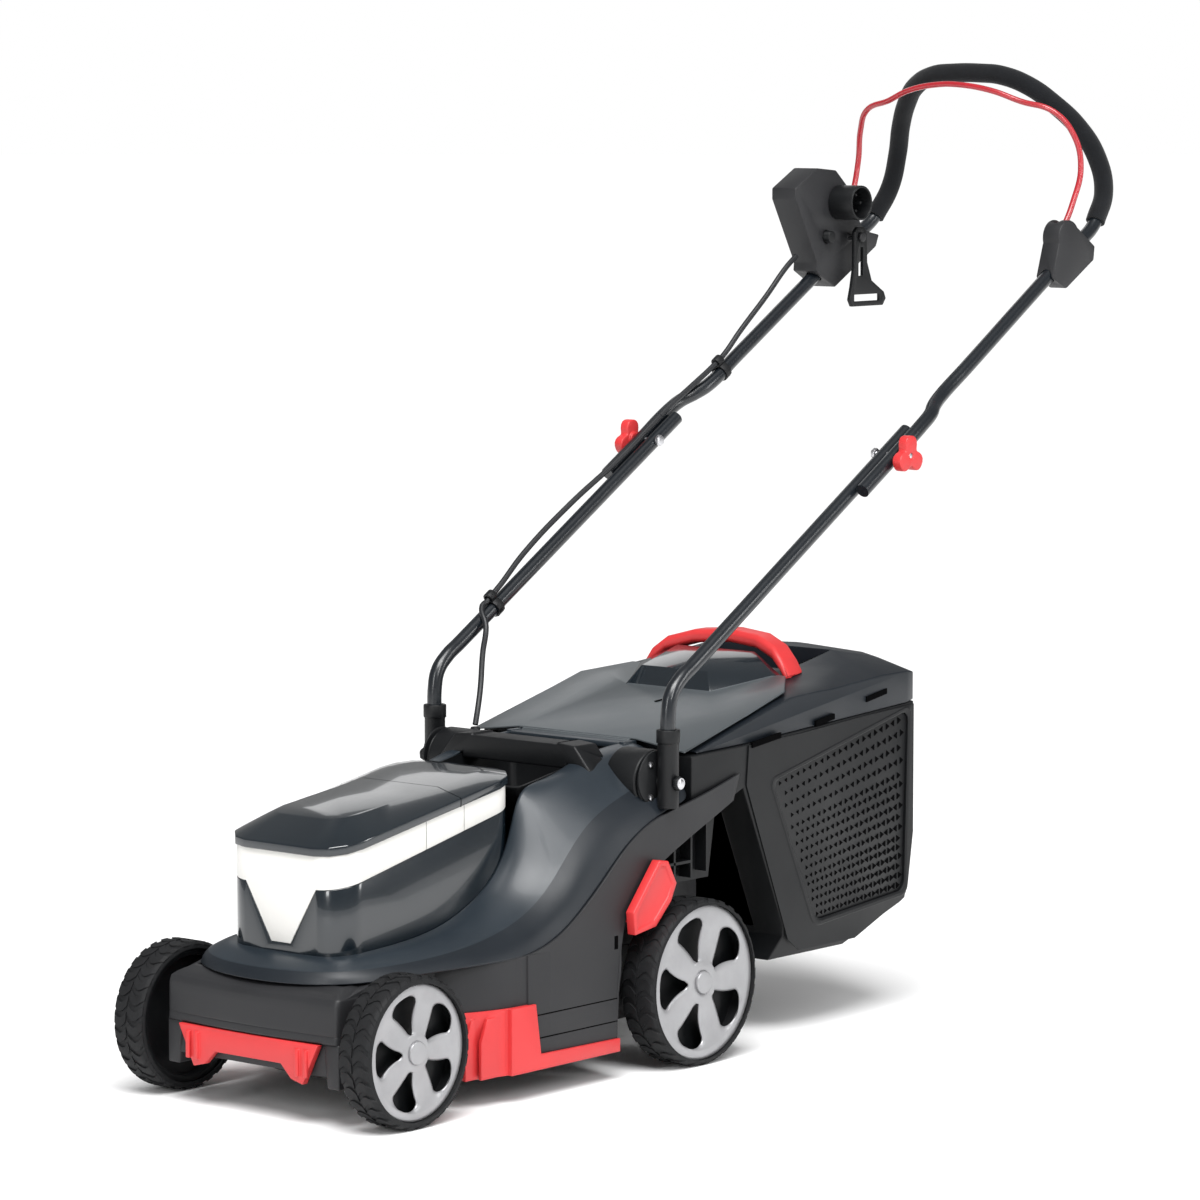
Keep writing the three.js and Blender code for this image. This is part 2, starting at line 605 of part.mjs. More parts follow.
function deck() {
  const nose = prismX(shapeOf([
    [NOSE_FRONT_Y - 4, 52], [NOSE_FRONT_Y, 126], [NOSE_FRONT_Y + 8, 131], [POD_FRONT_Y, 138.5],
    [30, DECK_TOP_Z - 1], [74, DECK_TOP_Z - 1], [74, 52],
  ]), -NOSE_X, NOSE_X);
  const chamber = cylinderZ(CHAMBER_R, SKIRT_Z, DECK_TOP_Z, 0, BLADE_Y, 48);
  const rails = box(-SKIRT_X, SKIRT_X, BLADE_Y, SKIRT_END_Y, SKIRT_Z, DECK_TOP_Z);
  const outside = join(nose, chamber, rails);

  const noseHollow = prismX(shapeOf([
    [NOSE_FRONT_Y, 40], [NOSE_FRONT_Y + WALL, 122], [NOSE_FRONT_Y + 10, 127], [POD_FRONT_Y, 134],
    [30, DECK_TOP_Z - 5], [74, DECK_TOP_Z - 5], [74, 40],
  ]), -NOSE_X + WALL, NOSE_X - WALL);
  const housing = cylinderZ(CHAMBER_R, SKIRT_Z, ROOF_Z, 0, BLADE_Y, 48);
  const chamberHollow = cylinderZ(CHAMBER_R - WALL, SKIRT_Z - 1, ROOF_Z - WALL, 0, BLADE_Y, 48);
  const upperHollow = join(
    cylinderZ(CHAMBER_R - WALL, ROOF_Z, 400, 0, BLADE_Y, 48),
    box(-SKIRT_X + WALL, SKIRT_X - WALL, BLADE_Y, SKIRT_END_Y - WALL, ROOF_Z, 400),
  );
  const railHollow = box(
    -SKIRT_X + WALL, SKIRT_X - WALL, BLADE_Y, SKIRT_END_Y - WALL, SKIRT_Z - 1, ROOF_Z - WALL);
  const hollow = join(noseHollow.subtract(housing), chamberHollow, upperHollow, railHollow);

  // The discharge chute rises from the chamber to the rear opening.
  const chuteOutside = prismX(shapeOf([
    [SKIRT_END_Y - WALL, 56], [400, 92], [532, 146], [532, 322], [458, 304], [438, 258], [345, 186],
    [300, ROOF_Z], [300, 56],
  ]), -CHUTE_X, CHUTE_X);
  const chuteInside = prismX(shapeOf([
    [SKIRT_END_Y - 14, 60], [398, 96], [533, 150.5], [533, 317], [461, 299.5], [441, 254],
    [347, 181.5], [302, ROOF_Z - WALL], [280, ROOF_Z - WALL], [280, 60],
  ]), -CHUTE_X + WALL, CHUTE_X - WALL);

  // Side walls that carry the rear pivot rod, tied to the chute by two webs.
  const sideWall = prismX(shapeOf([
    [SKIRT_END_Y - WALL, 52], [440, 52], [526, 96], [526, 130], [SKIRT_END_Y - WALL, 130],
  ]), REAR_WALL_X - WALL, REAR_WALL_X);
  const frontWeb = box(CHUTE_X - 1, REAR_WALL_X, SKIRT_END_Y - WALL, SKIRT_END_Y, 56, 100);
  const rearWeb = box(CHUTE_X - 1, REAR_WALL_X, 516, 520, 96, 130);

  // The arch over the rear wheel and the ledge under the hood's edge.
  const arch = prismX(shapeOf([
    [300, 60], [SKIRT_END_Y, 60], [SKIRT_END_Y, 120], [336, 184], [405, 226], [450, 246],
    [450, 272], [441, 276], [375, 238], [330, 209], [285, 169], [270, 149], [300, 149],
  ]), SKIRT_X - 7, SKIRT_X - 3);
  const ledge = prismX(shapeOf([
    [300, 149], [326, 196], [375, 233], [441, 270], [450, 272], [450, 266], [441, 264],
    [377, 227], [330, 192], [308, 149],
  ]), CHUTE_X - 1, SKIRT_X - 5);
  const archTie = box(CHUTE_X - 1, SKIRT_X - 5, 442, 450, 262, 272);
  const chuteTie = box(CHUTE_X - 6, CHUTE_X + 8, 442, 450, 262, 300);

  const half = join(sideWall, frontWeb, rearWeb, arch, ledge, archTie, chuteTie);
  const body = join(outside, chuteOutside, half, mirrorX(half));
  const shaftHole = cylinderZ(24, 0, 400, 0, BLADE_Y, 24);
  const rodHole = (axle) => cylinderX(ROD_R + RUN, -200, 200, axle.pivotY, axle.pivotZ, 16);
  const chuteMouth = box(-CHUTE_X + WALL, CHUTE_X - WALL, 280, SKIRT_END_Y + 1, 60, ROOF_Z - WALL);
  // Room for the link rod to leave the nose over the roof and to drop behind the chamber.
  const linkRoom = box(-118, -101, SKIRT_END_Y - 6, SKIRT_END_Y + 3, 100.5, DECK_TOP_Z + 1);
  return cut(
    body, hollow, chuteInside, chuteMouth, shaftHole, rodHole(frontAxle), rodHole(rearAxle), linkRoom);
}

add('deck', deck(), greyPlastic);
add('hood', hood(), satinBlue);

// ---------------------------------------------------------------- motor cover

const capEdge = (y) => CAP_EDGE_Z + CAP_RISE * y;
const CAP_LIP = 9;                  // upright lip round the cap's lower edge
const CAP_OVERHANG = 3;
const CAP_TOP = { x: 52, y0: 20, y1: 248, z: 296.5, rise: 0.123 };
const TRIM_LOW_Z = 232;             // lower edge of the white band at the front axle
const TRIM_RISE = 0.2205;
const TRIM_THICKNESS = 2.2;

// Everything between two sloping planes across the mower, from y0 to y1.
const slab = (lowZ, highZ, y0 = -60, y1 = 320) => prismX(shapeOf([
  [y0, lowZ(y0)], [y1, lowZ(y1)], [y1, highZ(y1)], [y0, highZ(y0)],
]), -200, 200);

function trimRegion(grow) {
  const band = slab((y) => TRIM_LOW_Z + TRIM_RISE * y - grow, (y) => capEdge(y) - GAP + 5 * grow);
  const vee = prismY(shapeOf([
    [-56 - grow, 242], [56 + grow, 242], [13 + grow, 171 - grow], [-13 - grow, 171 - grow],
  ]), POD_FRONT_Y - 2, POD_FRONT_Y + 16);
  const layer = cut(
    prismZ(podOutline(grow > 0 ? -1 : 0), 140, 400),
    prismZ(podOutline(TRIM_THICKNESS + grow), 130, 410),
  );
  return join(band, vee).intersect(layer);
}

function motorCover() {
  const shell = cut(
    prismZ(podOutline(0), DECK_TOP_Z + GAP, 400),
    prismZ(podOutline(POD_WALL + TRIM_THICKNESS), 100, 410),
  );
  return cut(shell, slab((y) => capEdge(y) - GAP, () => 500), trimRegion(GAP));
}

const coverTrim = () => trimRegion(0);

function capRings(inset) {
  const lower = podOutline(-CAP_OVERHANG + inset).getSpacedPoints(44).slice(0, -1);
  const halfLow = POD_HALF + CAP_OVERHANG - inset;
  const lowY = [POD_FRONT_Y - CAP_OVERHANG + inset, POD_REAR_Y + CAP_OVERHANG - inset];
  const halfTop = CAP_TOP.x - inset * 0.6;
  const topY = [CAP_TOP.y0 + inset * 0.6, CAP_TOP.y1 - inset * 0.6];
  const top = lower.map(({ x, y }) => {
    const along = (y - lowY[0]) / (lowY[1] - lowY[0]);
    const yTop = topY[0] + along * (topY[1] - topY[0]);
    return new THREE.Vector3((x * halfTop) / halfLow, yTop, CAP_TOP.z + CAP_TOP.rise * (yTop - CAP_TOP.y0) - inset);
  });
  const drop = inset > 0 ? 1 : 0;
  return [
    lower.map(({ x, y }) => new THREE.Vector3(x, y, capEdge(y) - drop)),
    lower.map(({ x, y }) => new THREE.Vector3(x, y, capEdge(y) + CAP_LIP - inset * 0.5)),
    top,
  ];
}

const motorCap = () => cut(loft(capRings(0)), loft(capRings(3)));

add('motor_cover', motorCover(), glossBlue);
add('cover_trim', coverTrim(), whitePlastic);
add('motor_cap', motorCap(), glossBlue);

function carryHandle() {
  const rod = prismY(shapeOf([[-73.4, 316], [73.4, 316], [73.4, 333], [60, 341], [-60, 341], [-73.4, 333]]), 347, 383);
  const leg = prismY(shapeOf([[56, 330], [60, 343], [84, 341], [106, 316], [100, 306], [76, 320]]), 347, 383);
  const whole = join(rod, leg, mirrorX(leg));
  const boss = cylinderX(BOSS_R + 2 * GAP, 95, BOSS_X, PIVOT_Y, PIVOT_Z, 28);
  return cut(whole, hoodSolid(0, 130).translate([0, 0, GAP]).subtract(recess()), boss, mirrorX(boss));
}

add('carry_handle', carryHandle(), blackPlastic);

function frontBumper() {
  const y0 = NOSE_FRONT_Y - 12;
  const y1 = NOSE_FRONT_Y - 4 - GAP;
  const face = prismY(shapeOf([
    [-97, 84], [-76, 42], [-60, 46], [-46, 60], [46, 60], [60, 46], [76, 42], [97, 84],
  ]), y0, y1);
  const rib = (x) => box(x - 2.5, x + 2.5, y0 - 3, y0 + 1, 50, 78);
  return join(face, rib(70), rib(82), rib(-70), rib(-82));
}

// The red comb on each side: a curved shield ahead of the skirt and a strip under it.
const COMB_TOP_Z = 99;
const COMB_THICKNESS = 3.5;

function sideComb() {
  const outer = CHAMBER_R + GAP;
  const ring = cut(
    cylinderZ(outer + COMB_THICKNESS, SKIRT_Z, COMB_TOP_Z, 0, BLADE_Y, 60),
    cylinderZ(outer, 0, 200, 0, BLADE_Y, 48),
    box(-200, 96, -200, 400, 0, 200), box(0, 200, BLADE_Y - 12, 400, 0, 200),
  );
  const x0 = SKIRT_X + GAP;
  const strip = prismX(shapeOf([
    [BLADE_Y - 30, SKIRT_Z], [SKIRT_END_Y, SKIRT_Z], [SKIRT_END_Y, SKIRT_Z + 14], [196, SKIRT_Z + 16],
    [188, COMB_TOP_Z], [BLADE_Y - 30, COMB_TOP_Z],
  ]), x0 - COMB_THICKNESS, x0 + COMB_THICKNESS);
  // Ties the shield to the strip where the skirt stands out past the blade housing.
  const web = box(CHAMBER_R - 8, x0 + COMB_THICKNESS, BLADE_Y - 16, BLADE_Y - GAP, SKIRT_Z, COMB_TOP_Z);
  const ribs = [[148, 107], [156, 122]].map(([x, y]) => prismX(shapeOf([
    [y - 9, SKIRT_Z], [y + 24, SKIRT_Z], [y + 24, COMB_TOP_Z - 7], [y + 1, COMB_TOP_Z - 7], [y - 9, COMB_TOP_Z - 30],
  ]), x, x + 4));
  const raw = join(ring, strip, web, ...ribs);
  return cut(
    raw, cylinderZ(outer, 0, 200, 0, BLADE_Y, 48), box(0, x0, BLADE_Y, 400, 0, 200),
    box(0, NOSE_X + GAP, -200, 400, 0, 200));
}

add('front_bumper', frontBumper(), redPlastic);
add('side_comb_left', sideComb(), redPlastic);
add('side_comb_right', mirrorX(sideComb()), redPlastic);

// ---------------------------------------------------------------- handle

const ROUND = 12;                   // sides of tubes, sleeves and pins
const holeFor = (radius) => (radius + GAP) / Math.cos(Math.PI / ROUND);
const PLATE_X = [BOSS_X + GAP, BOSS_X + 2.6];
const SOCKET_R = 11.4;
const SOCKET_Z = [277, 360];
const CLAMP_Z = 627.9;
const CLAMP_BOLT_R = 3;
const UPPER_TUBE_END = { y: 718, z: 591.8 };

const point = ([x, y, z]) => new THREE.Vector3(x, y, z);

// Points along a smooth curve through the given ones, a few in each stretch.
function smooth(points, steps) {
  const curve = new THREE.CatmullRomCurve3(points.map(point), false, 'centripetal');
  const stretches = points.length - 1;
  return Array.from({ length: stretches * steps + 1 }, (_, i) => curve.getPoint(i / (stretches * steps)));
}

// Round rings square to a line of points, all turned alike.
function rings(line, radius, sides) {
  let across = new THREE.Vector3(1, 0, 0);
  return line.map((centre, i) => {
    const before = line[Math.max(i - 1, 0)];
    const after = line[Math.min(i + 1, line.length - 1)];
    const along = after.clone().sub(before).normalize();
    across = across.clone().addScaledVector(along, -across.dot(along)).normalize();
    const other = along.clone().cross(across);
    return Array.from({ length: sides }, (_, k) => {
      const angle = (2 * Math.PI * k) / sides;
      return centre.clone().addScaledVector(across, radius * Math.cos(angle))
        .addScaledVector(other, radius * Math.sin(angle));
    });
  });
}

const tubeThrough = (line, radius, sides = ROUND) => loft(rings(line, radius, sides));

// The plate on each boss, with the stud that the handle turns on.
function pivotPlate() {
  return join(
    cylinderX(29, ...PLATE_X, PIVOT_Y - 5, PIVOT_Z + 4, 28),
    cylinderX(STUD_R, 112, 180, PIVOT_Y, PIVOT_Z, ROUND),
    cylinderX(8, 176.6, 181, PIVOT_Y, PIVOT_Z, 6),
  );
}

const STUD_BORE_R = (STUD_R + 0.1) / Math.cos(Math.PI / ROUND);
const studBore = () => cylinderX(STUD_BORE_R, 100, 200, PIVOT_Y, PIVOT_Z, ROUND);
const lowerTubeLine = (from, to) => [
  [LOWER_TUBE_X, PIVOT_Y, from], [LOWER_TUBE_X, PIVOT_Y, BEND_Z - 24], [LOWER_TUBE_X, PIVOT_Y + 2.5, BEND_Z - 9],
  [LOWER_TUBE_X, PIVOT_Y + 10, BEND_Z + 3.5], [LOWER_TUBE_X, PIVOT_Y + 24, BEND_Z + 15.5],
  [LOWER_TUBE_X, to[0], to[1]],
].map(point);

function lowerTube(radius = TUBE_R) {
  const tube = tubeThrough(lowerTubeLine(SOCKET_Z[0] + 4, [LOWER_TUBE_END_Y, 651.4]), radius);
  return radius > TUBE_R ? tube : cut(
    tube, studBore(), cylinderX(CLAMP_BOLT_R + 0.15, 100, 200, CLAMP_Y, CLAMP_Z, 10));
}

function socket() {
  const sleeve = cylinderZ(SOCKET_R, ...SOCKET_Z, LOWER_TUBE_X, PIVOT_Y, 16);
  const collar = cylinderZ(SOCKET_R + 1.2, SOCKET_Z[1] - 14, SOCKET_Z[1], LOWER_TUBE_X, PIVOT_Y, 16)
    .subtract(box(100, LOWER_TUBE_X - SOCKET_R + 0.1, 300, 500, 200, 400));
  const bore = tubeThrough(
    [[LOWER_TUBE_X, PIVOT_Y, SOCKET_Z[0] + 3.6], [LOWER_TUBE_X, PIVOT_Y, 380]].map(point), holeFor(TUBE_R));
  return cut(join(sleeve, collar), bore, studBore());
}

// Right-hand half of the upper handle's centre line, from its lower end to the middle.
const UPPER_HALF = [
  [UPPER_OVERLAP_X, UPPER_TUBE_END.y, UPPER_TUBE_END.z], [UPPER_OVERLAP_X, 834, 662.7],
  [UPPER_OVERLAP_X - 3, 846, 669], [169, 864, 677.5], [166, 877, 683.8], [163, 1120, 831],
  [162.3, 1152, 849.3], [161.2, 1170, 859.5], [159.6, 1190, 873.5], [157.6, 1203, 887], [154.5, 1214, 909],
  [150.5, 1216.5, 928], [144.2, 1214, 947], [137, 1207.5, 965], [128, 1199, 982], [117, 1189.5, 997.5],
  [105, 1180, 1010], [94, 1172.5, 1020.5], [82, 1166, 1029], [67, 1160.5, 1036.5], [50, 1157, 1041.5],
  [26, 1155.4, 1044],
];
const mirrored = (points) => points.map(([x, y, z]) => [-x, y, z]);
const upperLine = () => [...UPPER_HALF, ...mirrored(UPPER_HALF).reverse()].map(point);

function upperHandle() {
  const spare = cylinderX(CLAMP_BOLT_R + 0.15, -250, 250, CLAMP_Y + 36, CLAMP_Z + 22, 10);
  const bolts = cylinderX(CLAMP_BOLT_R + 0.15, -250, 250, CLAMP_Y, CLAMP_Z, 10);
  return cut(tubeThrough(upperLine(), TUBE_R), bolts, spare);
}

const upperBore = () => tubeThrough(upperLine(), holeFor(TUBE_R));

// The foam grip covers the bow between two stations of the same line.
const GRIP_STATIONS = [8, 36];      // of the 44 points of that line
function foamGrip() {
  const [first, last] = GRIP_STATIONS;
  return cut(loft(rings(upperLine(), FOAM_R, ROUND).slice(first, last)), upperBore());
}

function clampBolt() {
  return join(
    cylinderX(6.5, 151.6, LOWER_TUBE_X - TUBE_R - GAP, CLAMP_Y, CLAMP_Z, 6),
    cylinderX(CLAMP_BOLT_R, 154, 203, CLAMP_Y, CLAMP_Z, 10),
  );
}

const KNOB_X = [UPPER_OVERLAP_X + TUBE_R + GAP, 204];
function knob() {
  const shape = new THREE.Shape();
  const lobes = 3;
  const steps = 36;
  for (let i = 0; i < steps; i += 1) {
    const angle = (2 * Math.PI * i) / steps;
    const r = 18 + 5.5 * Math.cos(lobes * angle) - 1.3 * Math.cos(2 * lobes * angle);
    const u = CLAMP_Y + r * Math.sin(angle);
    const v = CLAMP_Z + r * Math.cos(angle);
    if (i === 0) shape.moveTo(u, v); else shape.lineTo(u, v);
  }
  const body = prismX(shape, KNOB_X[0] + 3, KNOB_X[1]);
  const collar = cylinderX(8, KNOB_X[0], KNOB_X[0] + 4, CLAMP_Y, CLAMP_Z, 16);
  return cut(join(body, collar), cylinderX(CLAMP_BOLT_R + 0.15, 150, 210, CLAMP_Y, CLAMP_Z, 10));
}

// A strap round a tube that also holds the cable above it.
const UP_FROM_TUBE = new THREE.Vector3(0, -HANDLE_SLOPE, 1).normalize();
const ALONG_TUBE = new THREE.Vector3(0, 1, HANDLE_SLOPE).normalize();
const CABLE_LIFT = TUBE_R + CABLE_R + 2.6;
const cableOver = (x, y, z) => point([x, y, z]).addScaledVector(UP_FROM_TUBE, CABLE_LIFT);

function clip(x, y, z) {
  const centre = point([x, y, z]);
  const lifted = cableOver(x, y, z);
  const along = (p, reach) => [
    p.clone().addScaledVector(ALONG_TUBE, -reach), p.clone().addScaledVector(ALONG_TUBE, reach)];
  const strap = join(
    tubeThrough(along(centre, 5), TUBE_R + 3), tubeThrough(along(lifted, 5), CABLE_R + 3));
  return cut(strap,
    tubeThrough(along(centre, 9), holeFor(TUBE_R)), tubeThrough(along(lifted, 9), holeFor(CABLE_R)));
}

const LOWER_CLIP = [-LOWER_TUBE_X, 504, 459.1];
const UPPER_CLIP = [-165.65, 905, 700.8];

for (const [side, turn] of [['left', (body) => body], ['right', mirrorX]]) {
  add(`pivot_plate_${side}`, turn(pivotPlate()), steel);
  add(`socket_${side}`, turn(socket()), blackPlastic);
  add(`lower_tube_${side}`, turn(lowerTube()), blackTube);
  add(`clamp_bolt_${side}`, turn(clampBolt()), steel);
  add(`knob_${side}`, turn(knob()), redPlastic);
}
add('lower_clip', clip(...LOWER_CLIP), blackPlastic);
add('upper_clip', clip(...UPPER_CLIP), blackPlastic);
add('upper_handle', upperHandle(), blackTube);
add('foam_grip', foamGrip(), foam);

// ---------------------------------------------------------------- controls

const BAIL_ARM_X = 160;
const SLOT_HALF = 4.6;
const BAIL_HALF = [
  [BAIL_ARM_X, BAIL_PIVOT_Y + 1, BAIL_PIVOT_Z], [BAIL_ARM_X, 1143, 895], [160.7, 1158, 939],
  [153, 1152, 976], [135, 1140, 1000], [95, 1130, 1012], [60, 1122, 1024], [15, 1118, 1031],
];

function bail() {
  const stub = cylinderX(BAIL_R, 153, 168, BAIL_PIVOT_Y + 1, BAIL_PIVOT_Z, 10);
  const line = smooth([...BAIL_HALF, ...mirrored(BAIL_HALF).reverse()], 2);
  return join(tubeThrough(line, BAIL_R, 8), stub, mirrorX(stub));
}

const bailBore = () => cylinderX(BAIL_R + 0.3, 151, 169, BAIL_PIVOT_Y + 1, BAIL_PIVOT_Z, 10);
const armSlot = () => prismX(shapeOf([
  [1104, 846], [1126, 843], [1190, 905], [1190, 940], [1112, 940], [1106, 870],
]), BAIL_ARM_X - SLOT_HALF, BAIL_ARM_X + SLOT_HALF);

function bailBracket() {
  const shape = new THREE.Shape();
  shape.moveTo(1084, 812);
  shape.lineTo(1096, 849);
  shape.absarc(1116, 857, 20, Math.PI * 1.1, Math.PI * 0.2, true);
  shape.lineTo(1168, 846);
  shape.lineTo(1166, 830);
  shape.lineTo(1112, 799);
  const body = solid(new THREE.ExtrudeGeometry(shape, { depth: 24, bevelEnabled: false, curveSegments: 10 })
    .applyMatrix4(TO_X).translate(151, 0, 0));
  return cut(body, upperBore(), bailBore(), armSlot());
}

const SWITCH_X = [-184, -148];
const BUTTON = { y: 1081, z: 852, r: 7, travel: 4 };
function switchBox() {
  const body = prismX(shapeOf([
    [1063, 933], [1099, 930], [1119, 913], [1153, 858], [1184, 852], [1178, 838], [1098, 792],
    [1062, 812], [1063, 822], [1021, 897], [1021, 910],
  ]), ...SWITCH_X);
  const cavity = box(SWITCH_X[0] + 3, SWITCH_X[1] - 3, 1060, 1094, 834, 924);
  const button = cylinderX(BUTTON.r + 0.4, SWITCH_X[1] - 6, SWITCH_X[1] + 1, BUTTON.y, BUTTON.z, 16);
  const slot = armSlot().mirror([1, 0, 0]);
  const hookPin = join(
    cylinderX(4, SWITCH_X[1] - 1, -127.5, HOOK_PIN.y, HOOK_PIN.z, 10),
    cylinderX(6, -129, -126, HOOK_PIN.y, HOOK_PIN.z, 10),
  );
  const bored = cut(body, upperBore(), mirrorX(bailBore()), slot, cavity, button);
  return join(bored, hookPin);
}

const HOOK_PIN = { y: 1124, z: 851 };
const HOOK_X = [-135, -130];
function cableHook() {
  const { y, z } = HOOK_PIN;
  const outline = [
    [y - 12, z + 6], [y - 6, z + 12], [y + 6, z + 12], [y + 12, z + 6], [y + 13, z - 30],
    [y + 22, z - 52], [y + 46, z - 66], [y + 50, z - 74], [y + 44, z - 82], [y - 16, z - 82],
    [y - 21, z - 74], [y - 17, z - 60], [y - 12, z - 36],
  ];
  const upperSlot = box(HOOK_X[0] - 1, HOOK_X[1] + 1, y - 4, y + 5, z - 46, z - 12);
  const lowerSlot = box(HOOK_X[0] - 1, HOOK_X[1] + 1, y - 12, y + 38, z - 76, z - 68);
  return cut(prismX(shapeOf(outline), ...HOOK_X), cylinderX(4.4, -140, -120, y, z, 10), upperSlot, lowerSlot);
}

const INLET = { y: 1103, z: 892, r: 20.5, mouthX: -113 };
function powerInlet() {
  const { y, z, r, mouthX } = INLET;
  const back = SWITCH_X[1] + GAP;
  const cup = cut(
    cylinderX(r, back, mouthX, y, z, 28), cylinderX(r - 2.5, back + 8, mouthX + 1, y, z, 28));
  const pins = [[0, 9.5], [0, -9.5], [9, 0]].map(([dy, dz]) =>
    cylinderX(2, back + 7, mouthX - 8, y + dy, z + dz, 8));
  return join(cup, ...pins);
}

function lockButton() {
  const { y, z, r } = BUTTON;
  return join(
    cylinderX(r, SWITCH_X[1] - 12, SWITCH_X[1] + 8, y, z, 16),
    cylinderX(r + 2, SWITCH_X[1] - 6, SWITCH_X[1] - 3 - GAP, y, z, 16),
  );
}

// The cable from the hood to the switch box, in three runs held by the two clips.
const cableRun = (points, steps) => tubeThrough(smooth(points, steps), CABLE_R, 6);
const clipHole = (spot, reach) => cableOver(...spot).addScaledVector(ALONG_TUBE, reach).toArray();
// Where the cable gives as the upper handle folds, just past the clamp and inside the upper tube.
const CABLE_FOLD = [-167, CLAMP_Y + 24, CLAMP_Z + 24 * HANDLE_SLOPE];

function cableLower() {
  const [x, y, z] = CABLE_ENTRY;
  return cableRun([
    [x, y, z + 2], [x - 3, y + 8, z + 20], [-138, 450, 376], [-146, 463, 412], [-149, 472, 440],
    clipHole(LOWER_CLIP, -16), clipHole(LOWER_CLIP, -5), clipHole(LOWER_CLIP, 0),
  ], 2);
}

function cableMid() {
  return cableRun([
    clipHole(LOWER_CLIP, GAP), clipHole(LOWER_CLIP, 12), [-170, 560, 514], [-171, 640, 563],
    [-168, 720, 608], clipHole(CABLE_FOLD, -16), clipHole(CABLE_FOLD, 0),
  ], 2);
}

function cableUpper() {
  return cableRun([
    clipHole(CABLE_FOLD, GAP), clipHole(CABLE_FOLD, 16), [-166.4, 850, 685.5], clipHole(UPPER_CLIP, -12),
    clipHole(UPPER_CLIP, 12), [-166, 940, 746], [-166, 990, 786], [-166, 1026, 817], [-166, 1045, 830],
  ], 2);
}

add('bail', bail(), redPlastic);
add('bail_bracket', bailBracket(), greyPlastic);
add('switch_box', switchBox(), greyPlastic);
add('cable_hook', cableHook(), blackPlastic);
add('power_inlet', powerInlet(), blackPlastic);
add('lock_button', lockButton(), blackPlastic);
add('cable_lower', cableLower(), rubber);
add('cable_mid', cableMid(), rubber);
add('cable_upper', cableUpper(), rubber);

// ---------------------------------------------------------------- grass box and flap

const seamZ = (y) => (y < 551 ? 325 + (y - 443) * 0.0343 : 328.7 + (y - 551) * 0.0632);
const BASKET_FRONT_Y = 545;

function basketOutline(inset) {
  const top = (y) => (inset > 0 ? 420 : seamZ(y) - GAP);
  const rear = BASKET_REAR_Y - inset;
  return shapeOf([
    [BASKET_FRONT_Y + inset, top(BASKET_FRONT_Y)], [BASKET_FRONT_Y + inset, 282],
    [620 + inset, 110 + inset * 0.4], [606 + inset, BASKET_FLOOR_Z + 4 + inset],
    [740, BASKET_FLOOR_Z + 4 + inset], [836 - inset * 0.6, 126 + inset], [rear, 200], [rear, top(rear)],
  ]);
}

const basketSides = (inset) => prismY(shapeOf([
  [-BASKET_X + inset, 440], [-BASKET_X + inset, 122], [-138 + inset * 0.5, BASKET_FLOOR_Z - 2 + inset],
  [138 - inset * 0.5, BASKET_FLOOR_Z - 2 + inset], [BASKET_X - inset, 122], [BASKET_X - inset, 440],
]), 440, 900);

function basket() {
  const tub = cut(
    prismX(basketOutline(0), -BASKET_X, BASKET_X).intersect(basketSides(0)),
    prismX(basketOutline(BASKET_WALL), -BASKET_X, BASKET_X).intersect(basketSides(BASKET_WALL)),
    box(-112, 112, 520, 640, 118, 316),
  );
  const armTop = (y) => seamZ(y) - GAP;
  const arm = cut(
    prismX(shapeOf([
      [456, 270], [464, 253], [520, 272], [548, 283], [548, armTop(548)], [456, armTop(456)],
    ]), 130, BASKET_X),
    prismX(shapeOf([[459, 240], [549, 240], [549, 323], [459, 320]]), 133, BASKET_X - BASKET_WALL),
  );
  return join(tub, arm, mirrorX(arm));
}

// Half outlines of the lid, [x, z] from the middle outwards, at stations along y.
const LID_SECTIONS = [
  [470, [0, 337.5], [84, 337.5], [120, 332], [151, 327.8]],
  [560, [0, 357.5], [93, 357.5], [125, 356], [153, 353]],
  [628, [0, 371.5], [101, 371.5], [130, 372], [154, 371.5]],
  [672, [0, 380], [103, 380], [130, 378.5], [155, 374]],
  [700, [0, 388], [80, 387.5], [129, 381], [156, 374.5]],
  [790, [0, 404.6], [80, 404.6], [105, 395], [157, 381.5]],
  [835, [0, 403], [84, 398], [104, 395], [157, 382]],
  [854, [0, 400], [80, 396], [100, 392], [151, 379]],
];

function lidSolid(inset) {
  const sections = LID_SECTIONS.map(([y, ...half], i) => {
    const shift = i === 0 ? inset : i === LID_SECTIONS.length - 1 ? -inset : 0;
    const base = inset > 0 ? 300 : seamZ(y);
    const upper = half.map(([x, z]) => [x > 140 ? x - inset : x, z - inset]);
    const right = [...upper, [upper[upper.length - 1][0], base]];
    const left = right.slice(1).map(([x, z]) => [-x, z]).reverse();
    return [...left, ...right].map(([x, z]) => new THREE.Vector3(x, y + shift, z));
  });
  return loft(sections);
}

const LID_POCKET = { x: 82, y0: 712, y1: 792, floor: 358 };
function basketLid() {
  const { x, y0, y1, floor } = LID_POCKET;
  const outside = lidSolid(0);
  const tray = box(-x - 2.6, x + 2.6, y0 - 2.6, y1 + 2.6, floor - 2.6, 500).intersect(outside);
  return cut(join(cut(outside, lidSolid(2.6)), tray), box(-x, x, y0, y1, floor, 500));
}

